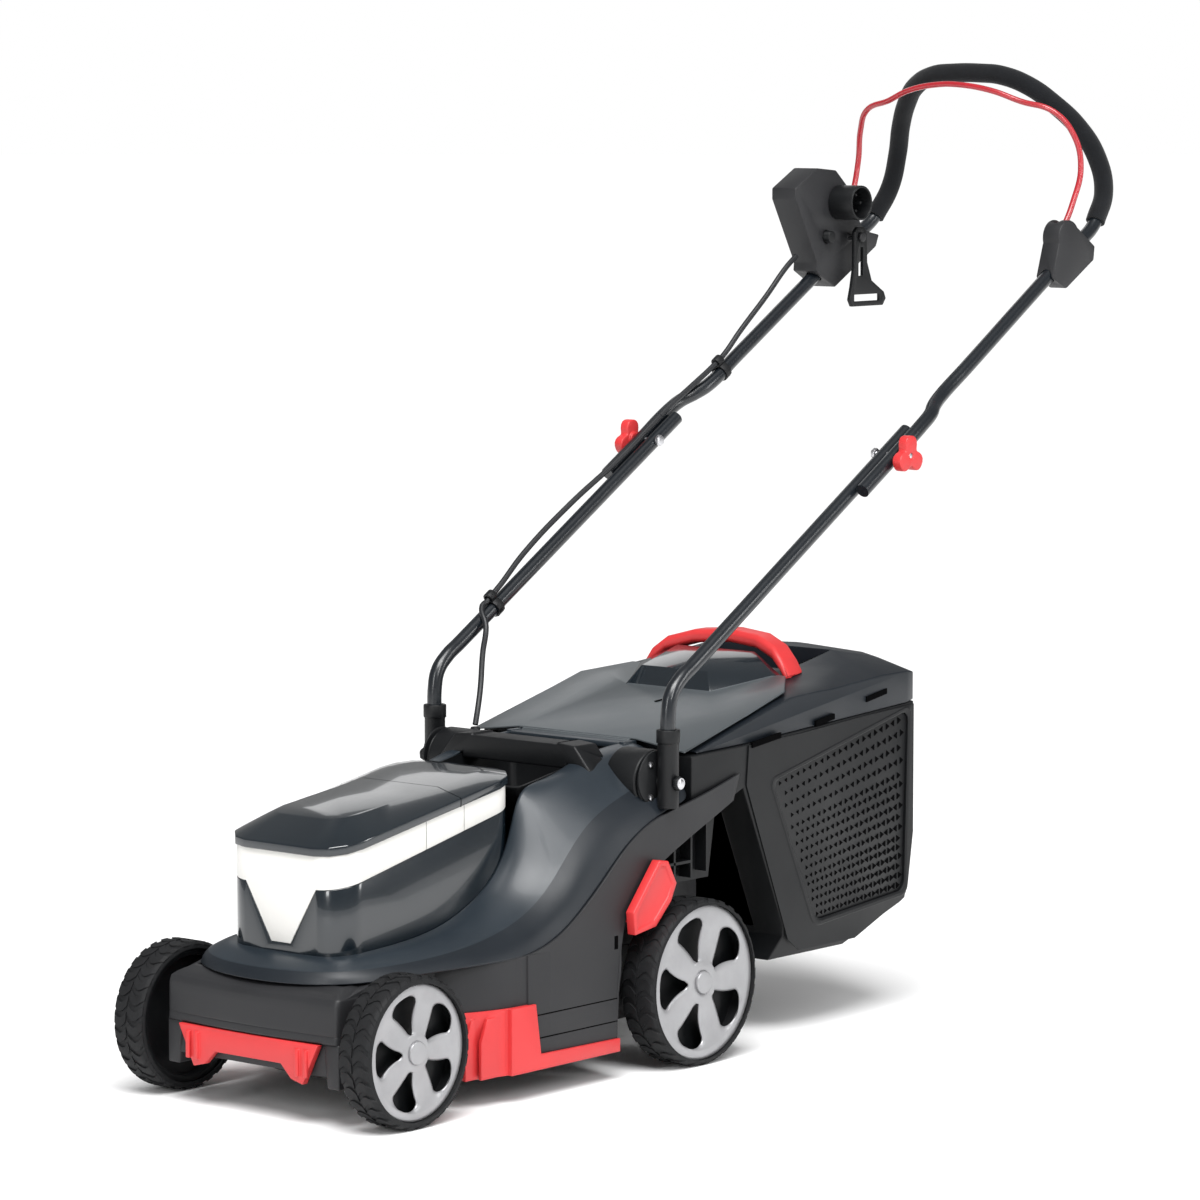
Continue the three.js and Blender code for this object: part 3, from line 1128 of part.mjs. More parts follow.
function basketHandle() {
  const stations = [
    [104, 702, 378], [92, 703, 396], [76, 708, 409], [45, 719, 418], [0, 727, 421],
  ];
  const line = [...stations, ...mirrored(stations).reverse().slice(1)];
  const sections = line.map(([x, y, z]) => [
    [-16, -5], [-12, -8], [12, -8], [16, -5], [16, 3], [11, 7.5], [-11, 7.5], [-16, 3],
  ].map(([dy, dz]) => new THREE.Vector3(x, y + dy, z + dz)));
  return cut(loft(sections), lidSolid(0).translate([0, 0, GAP]).subtract(box(-82, 82, 712, 792, 300, 500)));
}

const FLAP_SECTIONS = [
  [450, [0, 339], [82, 339], [150, 330]],
  [560, [0, 362.5], [95, 362.5], [147, 359]],
  [628, [0, 377], [102.6, 377], [145, 378]],
  [676, [0, 387.4], [106, 387.4], [109, 387.4]],
];

function flapSolid(drop) {
  return loft(FLAP_SECTIONS.map(([y, ...half], i) => {
    const shift = drop > 0 ? [-5, 0, 0, 5][i] : 0;
    const lower = half.map(([x, z]) => [drop > 0 && x > 100 ? x + 3 : x, z - drop]);
    const depth = drop > 0 ? 60 : 12;
    const right = [...lower, [lower[lower.length - 1][0], half[half.length - 1][1] - depth]];
    const left = right.slice(1).map(([x, z]) => [-x, z]).reverse();
    return [...left, ...right].map(([x, z]) => new THREE.Vector3(x, y + shift, z));
  }));
}

const FLAP_THICKNESS = 2.6;
function rearFlap() {
  const plate = cut(flapSolid(0), flapSolid(FLAP_THICKNESS));
  const humpAt = (inset) => loft([
    [[59, 605, 372 - inset * 3], [-59, 605, 372 - inset * 3], [-102, 679, 386 - inset * 3], [102, 679, 386 - inset * 3]],
    [[47, 616, 393], [-47, 616, 393], [-55, 690, 409], [55, 690, 409]],
  ].map((ring) => ring.map(([x, y, z]) => new THREE.Vector3(
    x * (1 - inset * 0.02), y + (y < 640 ? inset : -inset), z - inset))));
  const hump = humpAt(0).subtract(humpAt(2.6));
  const roomBelow = humpAt(2.6).intersect(box(-200, 200, 560, 720, 300, 420));
  const knuckle = cylinderX(5.5, -75.5, 75.5, FLAP_HINGE_Y, FLAP_HINGE_Z, ROUND);
  const neck = box(-75.5, 75.5, FLAP_HINGE_Y, 454, FLAP_HINGE_Z - 1, 338);
  return cut(
    join(cut(plate, roomBelow), hump, knuckle, neck),
    cylinderX(FLAP_PIN_R + 0.1, -90, 90, FLAP_HINGE_Y, FLAP_HINGE_Z, ROUND));
}

add('basket', basket(), blackPlastic);
add('basket_lid', basketLid(), satinBlue);
add('basket_handle', basketHandle(), redPlastic);
add('rear_flap', rearFlap(), flapGrey);
add('flap_pin', cylinderX(FLAP_PIN_R, -84, 84, FLAP_HINGE_Y, FLAP_HINGE_Z, ROUND), steel);

// The whole part stands on the ground, centred on the origin.
const extent = new THREE.Box3().setFromObject(mower);
mower.children.forEach((mesh) => {
  mesh.geometry.translate(0, -(extent.min.y + extent.max.y) / 2, 0);
});

export default mower;
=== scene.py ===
"""Looks of a corded electric rotary mower with a grass box, built round its packed frame."""

import json
import math

import bmesh
import bpy
from bpy.props import FloatProperty, FloatVectorProperty, IntProperty, PointerProperty
from mathutils import Matrix, Vector


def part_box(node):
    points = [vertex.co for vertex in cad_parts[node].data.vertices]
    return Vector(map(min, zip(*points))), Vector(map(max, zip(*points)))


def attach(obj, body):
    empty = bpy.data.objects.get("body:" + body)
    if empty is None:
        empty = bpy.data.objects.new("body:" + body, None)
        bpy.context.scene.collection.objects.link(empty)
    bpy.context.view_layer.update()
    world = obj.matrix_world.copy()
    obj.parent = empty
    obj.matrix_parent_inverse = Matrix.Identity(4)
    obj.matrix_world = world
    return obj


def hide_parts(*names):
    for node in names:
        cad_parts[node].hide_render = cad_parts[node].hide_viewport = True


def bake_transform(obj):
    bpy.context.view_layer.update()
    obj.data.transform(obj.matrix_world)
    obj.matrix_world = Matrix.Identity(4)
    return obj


bl_info = {
    "name": "Rotary mower looks",
    "version": (1, 0, 0),
    "blender": (4, 5, 0),
    "location": "View3D > Sidebar > Mower",
    "description": "Builds the visible pieces and finishes of a rotary mower on its frame",
    "category": "Object",
}

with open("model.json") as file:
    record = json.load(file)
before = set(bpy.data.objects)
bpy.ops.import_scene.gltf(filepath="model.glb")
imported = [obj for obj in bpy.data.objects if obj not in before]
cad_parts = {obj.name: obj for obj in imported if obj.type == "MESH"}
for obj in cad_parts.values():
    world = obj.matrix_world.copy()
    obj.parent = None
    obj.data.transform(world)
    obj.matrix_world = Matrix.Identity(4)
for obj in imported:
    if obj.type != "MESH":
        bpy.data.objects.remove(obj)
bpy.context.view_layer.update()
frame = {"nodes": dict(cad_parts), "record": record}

# Working units are millimetres, with y from the front axle and z from the ground.
TYRE_LOW, TYRE_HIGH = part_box("front_tyre_left")
AXLE_Y = (TYRE_LOW[1] + TYRE_HIGH[1]) / 2
MM = 0.001
TO_FRAME = Matrix.Translation((0, AXLE_Y, 0)) @ Matrix.Scale(MM, 4)


def place(x, y, z):
    """A working point in the frame's metres."""
    return TO_FRAME @ Vector((x, y, z))


# ------------------------------------------------------------------ settings


def colour(name, description, default):
    return FloatVectorProperty(
        name=name, description=description, default=default, subtype="COLOR", min=0, max=1
    )


class MowerColours(bpy.types.PropertyGroup):
    """Base colours of the finishes, linear."""

    gloss_blue: colour("Gloss blue", "Motor cover and cap", (0.0045, 0.0085, 0.0125))
    satin_blue: colour("Satin blue", "Hood", (0.0125, 0.0185, 0.025))
    # The grass box lid's own dark satin, and also painted shade: the hood's steep flank below its
    # sharp shoulder takes this darker copy of the hood's satin.
    lid_satin_and_flank_shade: colour("Dark satin", "Flanks of the hood and grass box lid",
                       (0.0055, 0.0085, 0.0125))
    flap_grey: colour("Flap grey", "Rear flap", (0.062, 0.071, 0.077))
    black: colour("Black", "Unpainted black mouldings", (0.0035, 0.004, 0.0048))
    grey: colour("Dark grey", "Deck and housings", (0.0165, 0.0168, 0.0185))
    red: colour("Red", "Bumper, combs, knobs and grass box handle", (0.56, 0.03, 0.032))
    rod_red: colour("Rod red", "Coated safety bail", (0.36, 0.008, 0.016))
    white: colour("White", "Trim band", (0.74, 0.73, 0.7))
    silver: colour("Silver", "Painted wheel covers", (0.33, 0.33, 0.34))
    rubber: colour("Rubber", "Tyre treads", (0.006, 0.0063, 0.0072))
    foam: colour("Foam", "Grip", (0.0045, 0.0052, 0.0066))
    tube: colour("Tube", "Powder-coated handle tubes", (0.004, 0.0062, 0.009))
    floor: colour("Floor", "Studio floor", (0.92, 0.92, 0.92))


class MowerSizes(bpy.types.PropertyGroup):
    """Sizes of the details that the frame does not carry."""

    tread_depth: FloatProperty(
        name="Tread depth", description="Height of the tread blocks", default=0.0016,
        min=0.0005, max=0.004, unit="LENGTH",
    )
    tread_count: IntProperty(
        name="Tread blocks", description="Blocks round each tyre", default=30, min=12, max=80
    )
    key_light: FloatProperty(
        name="Key light", description="Power of the large soft light", default=60, min=0,
        unit="POWER",
    )


def colours():
    return bpy.context.scene.mower_colours


def sizes():
    return bpy.context.scene.mower_sizes


# ------------------------------------------------------------------ finishes


MIDDLE = (0.3, 0.7)  # the part of a noise's range where nearly all of its values lie


def wire(tree, source, output, target, socket):
    tree.links.new(source.outputs[output], target.inputs[socket])


def new_finish(name):
    """A material with its object coordinates, its Principled shader and its tree."""
    material = bpy.data.materials.new(name)
    material.use_nodes = True
    tree = material.node_tree
    shader = tree.nodes["Principled BSDF"]
    coordinates = tree.nodes.new("ShaderNodeTexCoord")
    return material, tree, shader, coordinates


def noise(tree, coordinates, scale, detail, roughness=0.55):
    node = tree.nodes.new("ShaderNodeTexNoise")
    node.inputs["Scale"].default_value = scale
    node.inputs["Detail"].default_value = detail
    node.inputs["Roughness"].default_value = roughness
    wire(tree, coordinates, "Object", node, "Vector")
    return node


def spread(tree, source, low, high):
    """Maps a texture's middle range to a range of values."""
    node = tree.nodes.new("ShaderNodeMapRange")
    node.inputs["From Min"].default_value = MIDDLE[0]
    node.inputs["From Max"].default_value = MIDDLE[1]
    node.inputs["To Min"].default_value = low
    node.inputs["To Max"].default_value = high
    wire(tree, source, 0, node, "Value")
    return node


def tint(tree, source, base, change):
    """A colour that drifts a little round its base with a texture."""
    ramp = tree.nodes.new("ShaderNodeValToRGB")
    for stop, place_along, factor in zip(ramp.color_ramp.elements, MIDDLE, (1 - change, 1 + change)):
        stop.position = place_along
        stop.color = [min(1, c * factor) for c in base] + [1]
    wire(tree, source, 0, ramp, "Fac")
    return ramp


def bump(tree, shader, source, strength, distance, output=0):
    node = tree.nodes.new("ShaderNodeBump")
    node.inputs["Strength"].default_value = strength
    node.inputs["Distance"].default_value = distance
    wire(tree, source, output, node, "Height")
    wire(tree, node, "Normal", shader, "Normal")
    return node


def moulded(
    name, base, roughness, grain=2600, depth=0.00004, coat=0.0, drift=0.07, shine=0.5,
):
    """Moulded plastic: a fine spark-eroded grain, slight drift in colour and gloss."""
    material, tree, shader, coordinates = new_finish(name)
    patches = noise(tree, coordinates, 14, 4)
    wire(tree, tint(tree, patches, base, drift), "Color", shader, "Base Color")
    wire(tree, spread(tree, patches, roughness * 0.88, roughness * 1.14), "Result",
         shader, "Roughness")
    bump(tree, shader, noise(tree, coordinates, grain, 2), 0.6, depth)
    shader.inputs["IOR"].default_value = 1.5
    shader.inputs["Specular IOR Level"].default_value = shine
    if coat:
        shader.inputs["Coat Weight"].default_value = coat
        shader.inputs["Coat Roughness"].default_value = 0.06
    return material


def painted_metal(name, base, roughness, metallic=0.0, coat=0.6):
    """Coated metal with a faint orange peel."""
    material, tree, shader, coordinates = new_finish(name)
    wire(tree, tint(tree, noise(tree, coordinates, 30, 3), base, 0.08), "Color",
         shader, "Base Color")
    peel = noise(tree, coordinates, 700, 2)
    wire(tree, spread(tree, peel, roughness * 0.9, roughness * 1.15), "Result", shader, "Roughness")
    bump(tree, shader, peel, 0.35, 0.00005)
    shader.inputs["Metallic"].default_value = metallic
    shader.inputs["Coat Weight"].default_value = coat
    shader.inputs["Coat Roughness"].default_value = 0.12
    return material


def bare_metal(name, base, roughness, streak=(1, 1, 40)):
    """Plated or ground metal with fine scratches along one direction."""
    material, tree, shader, coordinates = new_finish(name)
    mapping = tree.nodes.new("ShaderNodeMapping")
    mapping.inputs["Scale"].default_value = streak
    wire(tree, coordinates, "Object", mapping, "Vector")
    scratches = tree.nodes.new("ShaderNodeTexNoise")
    scratches.inputs["Scale"].default_value = 90
    scratches.inputs["Detail"].default_value = 4
    wire(tree, mapping, "Vector", scratches, "Vector")
    wire(tree, tint(tree, scratches, base, 0.1), "Color", shader, "Base Color")
    wire(tree, spread(tree, scratches, roughness * 0.8, roughness * 1.3), "Result",
         shader, "Roughness")
    bump(tree, shader, scratches, 0.3, 0.00004)
    shader.inputs["Metallic"].default_value = 1.0
    return material


def foam_finish(name, base):
    """Closed-cell foam: small round cells and a soft sheen."""
    material, tree, shader, coordinates = new_finish(name)
    cells = tree.nodes.new("ShaderNodeTexVoronoi")
    cells.inputs["Scale"].default_value = 900
    wire(tree, coordinates, "Object", cells, "Vector")
    wire(tree, tint(tree, noise(tree, coordinates, 60, 4), base, 0.2), "Color",
         shader, "Base Color")
    bump(tree, shader, cells, 0.5, 0.0003, "Distance")
    shader.inputs["Roughness"].default_value = 0.92
    shader.inputs["Specular IOR Level"].default_value = 0.2
    shader.inputs["Sheen Weight"].default_value = 0.12
    shader.inputs["Sheen Roughness"].default_value = 0.5
    return material


def rubber_finish(name, base):
    """Tyre rubber, dull, with a dusting of lighter wear."""
    material, tree, shader, coordinates = new_finish(name)
    wear = noise(tree, coordinates, 55, 5, 0.65)
    wire(tree, tint(tree, wear, base, 0.3), "Color", shader, "Base Color")
    wire(tree, spread(tree, wear, 0.55, 0.8), "Result", shader, "Roughness")
    bump(tree, shader, noise(tree, coordinates, 1500, 3), 0.5, 0.00008)
    shader.inputs["Specular IOR Level"].default_value = 0.3
    return material


def make_finishes():
    c = colours()
    return {
        "gloss_blue": moulded("gloss_blue", c.gloss_blue, 0.2, 420, 0.00001, coat=0.85),
        "satin_blue": moulded("satin_blue", c.satin_blue, 0.4, 1500, 0.000012, coat=0.06),
        "lid_satin_and_flank_shade": moulded("lid_satin_and_flank_shade", c.lid_satin_and_flank_shade, 0.44, 1500, 0.000012, shine=0.4),
        "flap_grey": moulded("flap_grey", c.flap_grey, 0.4, 1500, 0.000012, coat=0.05),
        "black": moulded("black", c.black, 0.46, shine=0.32),
        "grey": moulded("grey", c.grey, 0.5, shine=0.35),
        "red": moulded("red", c.red, 0.42, 1800, 0.00002),
        "white": moulded("white", c.white, 0.34, 1500, 0.00001, drift=0.02),
        "silver": painted_metal("silver", c.silver, 0.38, 0.55, 0.3),
        "rubber": rubber_finish("rubber", c.rubber),
        "foam": foam_finish("foam", c.foam),
        "tube": painted_metal("tube", c.tube, 0.3, coat=0.25),
        "rod_red": painted_metal("rod_red", c.rod_red, 0.35),
        "zinc": bare_metal("zinc", (0.62, 0.62, 0.64), 0.28),
        "blade_steel": bare_metal("blade_steel", (0.22, 0.225, 0.23), 0.42, (40, 1, 1)),
        "motor_can": bare_metal("motor_can", (0.42, 0.43, 0.45), 0.35),
        "shadow": moulded("shadow", (0.0012, 0.0012, 0.0014), 0.9, shine=0.03),
        "sheath": moulded("sheath", (0.008, 0.009, 0.011), 0.45, 900, 0.00003),
    }


FINISH = {}


# ------------------------------------------------------------------ making pieces


def piece(name, bm, finish, body, replaces=(), smooth=32, in_mm=True):
    """Turns a bmesh into a finished piece that rides on a body."""
    if in_mm:
        bm.transform(TO_FRAME)
    mesh = bpy.data.meshes.new(name)
    bm.to_mesh(mesh)
    bm.free()
    return dress(bpy.data.objects.new(name, mesh), finish, body, replaces, smooth)


def dress(made, finish, body, replaces=(), smooth=32):
    bpy.context.scene.collection.objects.link(made)
    made.data.materials.append(FINISH[finish])
    if made.type == "MESH":
        made.data.shade_smooth()
        made.data.set_sharp_from_angle(angle=math.radians(smooth))
    if body:
        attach(made, body)
    if replaces:
        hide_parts(*replaces)
    return made


def body_of(node):
    return next(b for b, nodes in frame["record"]["behaviour"]["bodies"].items() if node in nodes)


def merged_copy(node):
    """A bmesh of a CAD node with its loose triangles joined and its flats merged."""
    tidy = 0.00025
    bm = bmesh.new()
    bm.from_mesh(frame["nodes"][node].data)
    bmesh.ops.remove_doubles(bm, verts=bm.verts, dist=tidy)
    bmesh.ops.dissolve_degenerate(bm, dist=tidy / 2, edges=bm.edges)
    bmesh.ops.dissolve_limit(
        bm, angle_limit=math.radians(1.5), use_dissolve_boundaries=False,
        verts=bm.verts, edges=bm.edges, delimit=set(),
    )
    return bm


def round_edges(bm, width, angle=26, segments=2):
    edges = [
        e for e in bm.edges
        if len(e.link_faces) == 2 and e.calc_face_angle(0) > math.radians(angle)
        and e.calc_length() > width * 0.6
    ]
    bmesh.ops.bevel(
        bm, geom=edges, offset=width, offset_type="OFFSET", segments=segments, profile=0.5,
        affect="EDGES", material=-1, clamp_overlap=False, miter_outer="SHARP",
    )


def rounded(node, finish, width, smooth=32, segments=2):
    """A copy of a CAD node with rounded edges, in its place."""
    bm = merged_copy(node)
    round_edges(bm, width, segments=segments)
    return piece(
        node + "_shell", bm, finish, body_of(node), [node], smooth, in_mm=False)


def paint(node, finish):
    """Keeps a CAD node and gives it a finish."""
    made = frame["nodes"][node]
    made.data.materials.clear()
    made.data.materials.append(FINISH[finish])


def tube_mesh(name, points, radius, ring=10):
    """A closed round tube along working points, as mesh data in the frame's metres."""
    curve = bpy.data.curves.new(name, "CURVE")
    curve.dimensions = "3D"
    curve.bevel_depth = radius * MM
    curve.bevel_resolution = ring
    curve.use_fill_caps = True
    curve.resolution_u = 8
    spline = curve.splines.new("BEZIER")
    spline.bezier_points.add(len(points) - 1)
    for knot, point in zip(spline.bezier_points, points):
        knot.co = place(*point)
        knot.handle_left_type = knot.handle_right_type = "AUTO"
    holder = bpy.data.objects.new(name, curve)
    bpy.context.scene.collection.objects.link(holder)
    mesh = bpy.data.meshes.new_from_object(
        holder.evaluated_get(bpy.context.evaluated_depsgraph_get()))
    bpy.data.objects.remove(holder)
    bpy.data.curves.remove(curve)
    bm = bmesh.new()
    bm.from_mesh(mesh)
    bmesh.ops.remove_doubles(bm, verts=bm.verts, dist=1e-6)
    bmesh.ops.recalc_face_normals(bm, faces=bm.faces)
    bm.to_mesh(mesh)
    bm.free()
    mesh.materials.clear()
    mesh.name = name
    return mesh


def tube(name, points, radius, finish, body, slot, replaces):
    mesh = tube_mesh(name, points, radius)
    return dress(bpy.data.objects.new(name, mesh), finish, body, replaces, 40)


def spun(profile, axis_x, y, z, steps=96):
    """A bmesh turned about an axis along X from a closed profile of (x, radius)."""
    bm = bmesh.new()
    loop = [bm.verts.new((axis_x + x, y, z + r)) for x, r in profile]
    edges = [bm.edges.new((a, b)) for a, b in zip(loop, loop[1:] + loop[:1])]
    bmesh.ops.spin(
        bm, geom=loop + edges, cent=(0, y, z), axis=(1, 0, 0), angle=math.tau, steps=steps,
        use_merge=True,
    )
    bmesh.ops.remove_doubles(bm, verts=bm.verts, dist=0.001)
    bmesh.ops.recalc_face_normals(bm, faces=bm.faces)
    return bm


def rod_x(bm, radius, x0, x1, y, z, sides=24, tip=None):
    """Adds a closed round bar along X to a bmesh."""
    turn = Matrix.Rotation(math.pi / 2, 4, "Y")
    return bmesh.ops.create_cone(
        bm, cap_ends=True, segments=sides, radius1=radius, radius2=tip or radius,
        depth=abs(x1 - x0), matrix=Matrix.Translation(((x0 + x1) / 2, y, z)) @ turn,
    )["verts"]


def chain(bm, points, closed=False):
    """Adds a line of edges through points, and returns the edges."""
    verts = [bm.verts.new(point) for point in points]
    pairs = zip(verts, verts[1:] + verts[:1]) if closed else zip(verts, verts[1:])
    return [bm.edges.new(pair) for pair in pairs]


def skin(name, lines, finish, wall, creases, levels, outward=(0, 0, 1), replaces=()):
    """A smooth moulded wall bridged through lines of points, with sharp folds where asked."""
    bm = bmesh.new()
    crease = bm.edges.layers.float.new("crease_edge")
    rows = [chain(bm, points) for points in lines]
    for row, fold in zip(rows, creases):
        for edge in row:
            edge[crease] = fold
    for first, second in zip(rows, rows[1:]):
        bmesh.ops.bridge_loops(bm, edges=first + second)
    bmesh.ops.recalc_face_normals(bm, faces=bm.faces)
    side = sum((face.normal * face.calc_area() for face in bm.faces), Vector())
    if side.dot(Vector(outward)) < 0:
        bmesh.ops.reverse_faces(bm, faces=bm.faces)
    made = piece(name, bm, finish, "base", replaces, 180)
    smoothing = made.modifiers.new("smooth", "SUBSURF")
    smoothing.levels = smoothing.render_levels = levels
    thickness = made.modifiers.new("wall", "SOLIDIFY")
    thickness.thickness, thickness.offset = wall * MM, -1
    return made


def plate(bm, outline, x0, x1):
    """Adds a flat plate to a bmesh from an outline of (y, z), between two places along x."""
    face = bm.faces.new([bm.verts.new((x0, y, z)) for y, z in outline])
    made = bmesh.ops.extrude_face_region(bm, geom=[face])["geom"]
    verts = [v for v in made if isinstance(v, bmesh.types.BMVert)]
    bmesh.ops.translate(bm, verts=verts, vec=(x1 - x0, 0, 0))
    bmesh.ops.recalc_face_normals(bm, faces=bm.faces)


def block(bm, low, high):
    """Adds a box to a bmesh between two corners."""
    size = [b - a for a, b in zip(low, high)]
    middle = [(a + b) / 2 for a, b in zip(low, high)]
    scale = Matrix.Diagonal((*size, 1))
    return bmesh.ops.create_cube(bm, size=1, matrix=Matrix.Translation(middle) @ scale)["verts"]


def screw(bm, x, y, z, side, radius=4.2):
    """Adds a domed cross-head screw facing along X."""
    rod_x(bm, radius, x, x + side * 1.2, y, z, 20)
    rod_x(bm, radius * 0.82, x + side * 1.2, x + side * 1.9, y, z, 20, radius * 0.5)


# ------------------------------------------------------------------ stage

CAMERA = {"x": 3498, "y": -3665, "z": 1052, "pitch": 6.027, "turn": 40.098, "lens": 151.6}


def build_stage():
    scene = bpy.context.scene
    data = bpy.data.cameras.new("camera")
    data.lens, data.sensor_width = CAMERA["lens"], 36
    data.clip_start, data.clip_end = 0.1, 60
    camera = bpy.data.objects.new("camera", data)
    camera.location = place(CAMERA["x"], CAMERA["y"], CAMERA["z"])
    camera.rotation_euler = (
        math.radians(90 - CAMERA["pitch"]), 0, math.radians(CAMERA["turn"]))
    scene.collection.objects.link(camera)
    scene.camera = camera

    floor_finish, tree, shader, coordinates = new_finish("studio_floor")
    wire(tree, tint(tree, noise(tree, coordinates, 2, 2), colours().floor, 0.01), "Color",
         shader, "Base Color")
    shader.inputs["Roughness"].default_value = 0.75
    bm = bmesh.new()
    bmesh.ops.create_grid(bm, x_segments=1, y_segments=1, size=60)
    mesh = bpy.data.meshes.new("studio_floor")
    bm.to_mesh(mesh)
    bm.free()
    mesh.materials.append(floor_finish)
    floor = bpy.data.objects.new("studio_floor", mesh)
    scene.collection.objects.link(floor)

    scene.world = studio_world()
    scene.view_settings.view_transform = "Standard"

    sun = bpy.data.lights.new("overhead", "SUN")
    sun.energy, sun.angle = 3.4, math.radians(35)
    aim_light(sun, (1.2, -1.6, 4.2))
    for name, spot, size, power in (
        ("key", (2.6, -1.2, 2.6), (0.7, 2.6), sizes().key_light),
        ("front", (0.4, -3.4, 1.5), (0.5, 1.8), sizes().key_light * 0.5),
        ("side", (3.4, 1.6, 1.6), (0.5, 2.0), sizes().key_light * 0.5),
        ("back", (-2.4, 2.6, 2.4), (1.6, 1.6), sizes().key_light * 0.14),
    ):
        lamp = bpy.data.lights.new(name, "AREA")
        lamp.shape = "RECTANGLE"
        lamp.size, lamp.size_y = size
        lamp.energy = power
        aim_light(lamp, spot)


def studio_world():
    """A white room as the camera sees it, dimmer in reflections so that gloss keeps its depth."""
    world = bpy.data.worlds.new("studio")
    world.use_nodes = True
    tree = world.node_tree
    room = tree.nodes["Background"]
    room.inputs["Color"].default_value = (1, 1, 1, 1)
    room.inputs["Strength"].default_value = 0.26
    seen = tree.nodes.new("ShaderNodeBackground")
    seen.inputs["Strength"].default_value = 1.0
    seen.inputs["Color"].default_value = (1, 1, 1, 1)
    rays = tree.nodes.new("ShaderNodeLightPath")
    mix = tree.nodes.new("ShaderNodeMixShader")
    wire(tree, rays, "Is Camera Ray", mix, "Fac")
    tree.links.new(room.outputs[0], mix.inputs[1])
    tree.links.new(seen.outputs[0], mix.inputs[2])
    tree.links.new(mix.outputs[0], tree.nodes["World Output"].inputs["Surface"])
    return world


def aim_light(lamp, spot):
    """Places a light and points it at the middle of the mower."""
    holder = bpy.data.objects.new(lamp.name, lamp)
    holder.location = spot
    aim = Vector((0, 0, 0.35)) - Vector(spot)
    holder.rotation_euler = aim.to_track_quat("-Z", "Y").to_euler()
    bpy.context.scene.collection.objects.link(holder)


# ------------------------------------------------------------------ cable

CABLE_R = 3.2
CABLE_LOWER = [
    (-128, 430, 338), (-131, 438, 356), (-138, 450, 376), (-146, 463, 412), (-149, 472, 440),
    (-164.6, 483.4, 461), (-164.6, 492.8, 466.6), (-164.6, 496.8, 470.9),
]
CABLE_MID = [
    (-164.6, 497.1, 471), (-164.6, 507, 477.2), (-170, 560, 514), (-171, 640, 563),
    (-168, 720, 608), (-167, 780.6, 646), (-167, 793.8, 654.1),
]
CABLE_UPPER = [
    (-167, 794.4, 654.4), (-167, 808, 662.8), (-166.4, 850, 685.5), (-165.65, 887.6, 706.3),
    (-165.65, 908, 718.9), (-166, 940, 746), (-166, 990, 786), (-166, 1026, 817),
    (-166, 1045, 830),
]


def build_cables():
    runs = [
        ("cable_lower", CABLE_LOWER, "base", "lower_handle"),
        ("cable_mid", CABLE_MID, "lower_handle", "upper_handle"),
        ("cable_upper", CABLE_UPPER, "upper_handle", None),
    ]
    for node, points, first, second in runs:
        mesh = tube_mesh(node + "_sheath", points, CABLE_R, ring=4)
        made = dress(
            bpy.data.objects.new(node + "_sheath", mesh), "sheath", None if second else first,
            [node], 60)
        if second:
            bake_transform(made)


# ------------------------------------------------------------------ wheels

WHEELS = {
    "front": {"y": 0, "r": 77.5, "rim": 70, "width": 41, "outer": 178},
    "rear": {"y": 437.5, "r": 89, "rim": 83.6, "width": 45.6, "outer": 190},
}


def tyre(bm_name, spec, side, body):
    """A tyre with curved tread blocks across its width."""
    depth = sizes().tread_depth / MM
    half = spec["width"] / 2
    centre = side * (spec["outer"] - half)
    crown = spec["r"] - depth
    y, z = spec["y"], spec["r"]
    profile = [
        (-half, spec["rim"] - 0.3), (-half, crown - 5), (-half + 1.5, crown - 1.8),
        (-half + 5, crown - 0.2), (0, crown), (half - 5, crown - 0.2), (half - 1.5, crown - 1.8),
        (half, crown - 5), (half, spec["rim"] - 0.3),
    ]
    bm = spun(profile, centre, y, z)
    count = sizes().tread_count
    stations = 9
    for k in range(count):
        base = math.tau * k / count
        for shift, low, high in ((0, -0.96, -0.04), (0.5, 0.04, 0.96)):
            rows = []
            for i in range(stations):
                t = i / (stations - 1)
                across = low + (high - low) * t
                lean = 0.34 * math.sin(math.pi * abs(across)) * side
                angle = base + math.tau / count * (shift + lean * 1.4)
                reach = spec["r"] - 0.1 - 3.2 * max(0, abs(across) - 0.82) / 0.14
                thick = math.tau / count * 0.34
                rows.append([
                    bm.verts.new((
                        centre + across * half,
                        y + (r * math.sin(angle + turn)), z + r * math.cos(angle + turn)))
                    for turn, r in (
                        (-thick, crown - 3), (-thick * 0.86, reach), (thick * 0.86, reach),
                        (thick, crown - 3))
                ])
            for a, b in zip(rows, rows[1:]):
                for j in range(4):
                    bm.faces.new((a[j], a[(j + 1) % 4], b[(j + 1) % 4], b[j]))
            bm.faces.new(rows[0][::-1])
            bm.faces.new(rows[-1])
    bmesh.ops.recalc_face_normals(bm, faces=bm.faces)
    return piece(bm_name, bm, "rubber", body, (), 28)


COVER_SHARES = (
    0.12, 0.2, 0.26, 0.28, 0.287, 0.3, 0.33, 0.38, 0.45, 0.52, 0.6, 0.66, 0.72, 0.76, 0.79, 0.82,
    0.84, 0.855, 0.862, 0.88, 0.92, 0.96, 0.985, 1,
)
SPOKES = 5
HUB_R = 12


def opening(share):
    """Half the angle of an opening of the cover, at a share of its radius."""
    if share <= 0.28 or share >= 0.862:
        return 0
    if share < 0.33:
        return 0.16 * math.sqrt((share - 0.28) / 0.05)
    if share < 0.72:
        return 0.16 + 0.2 * (share - 0.33) / 0.39
    return 0.36 * math.sqrt(max(0, 1 - ((share - 0.72) / 0.142) ** 2))


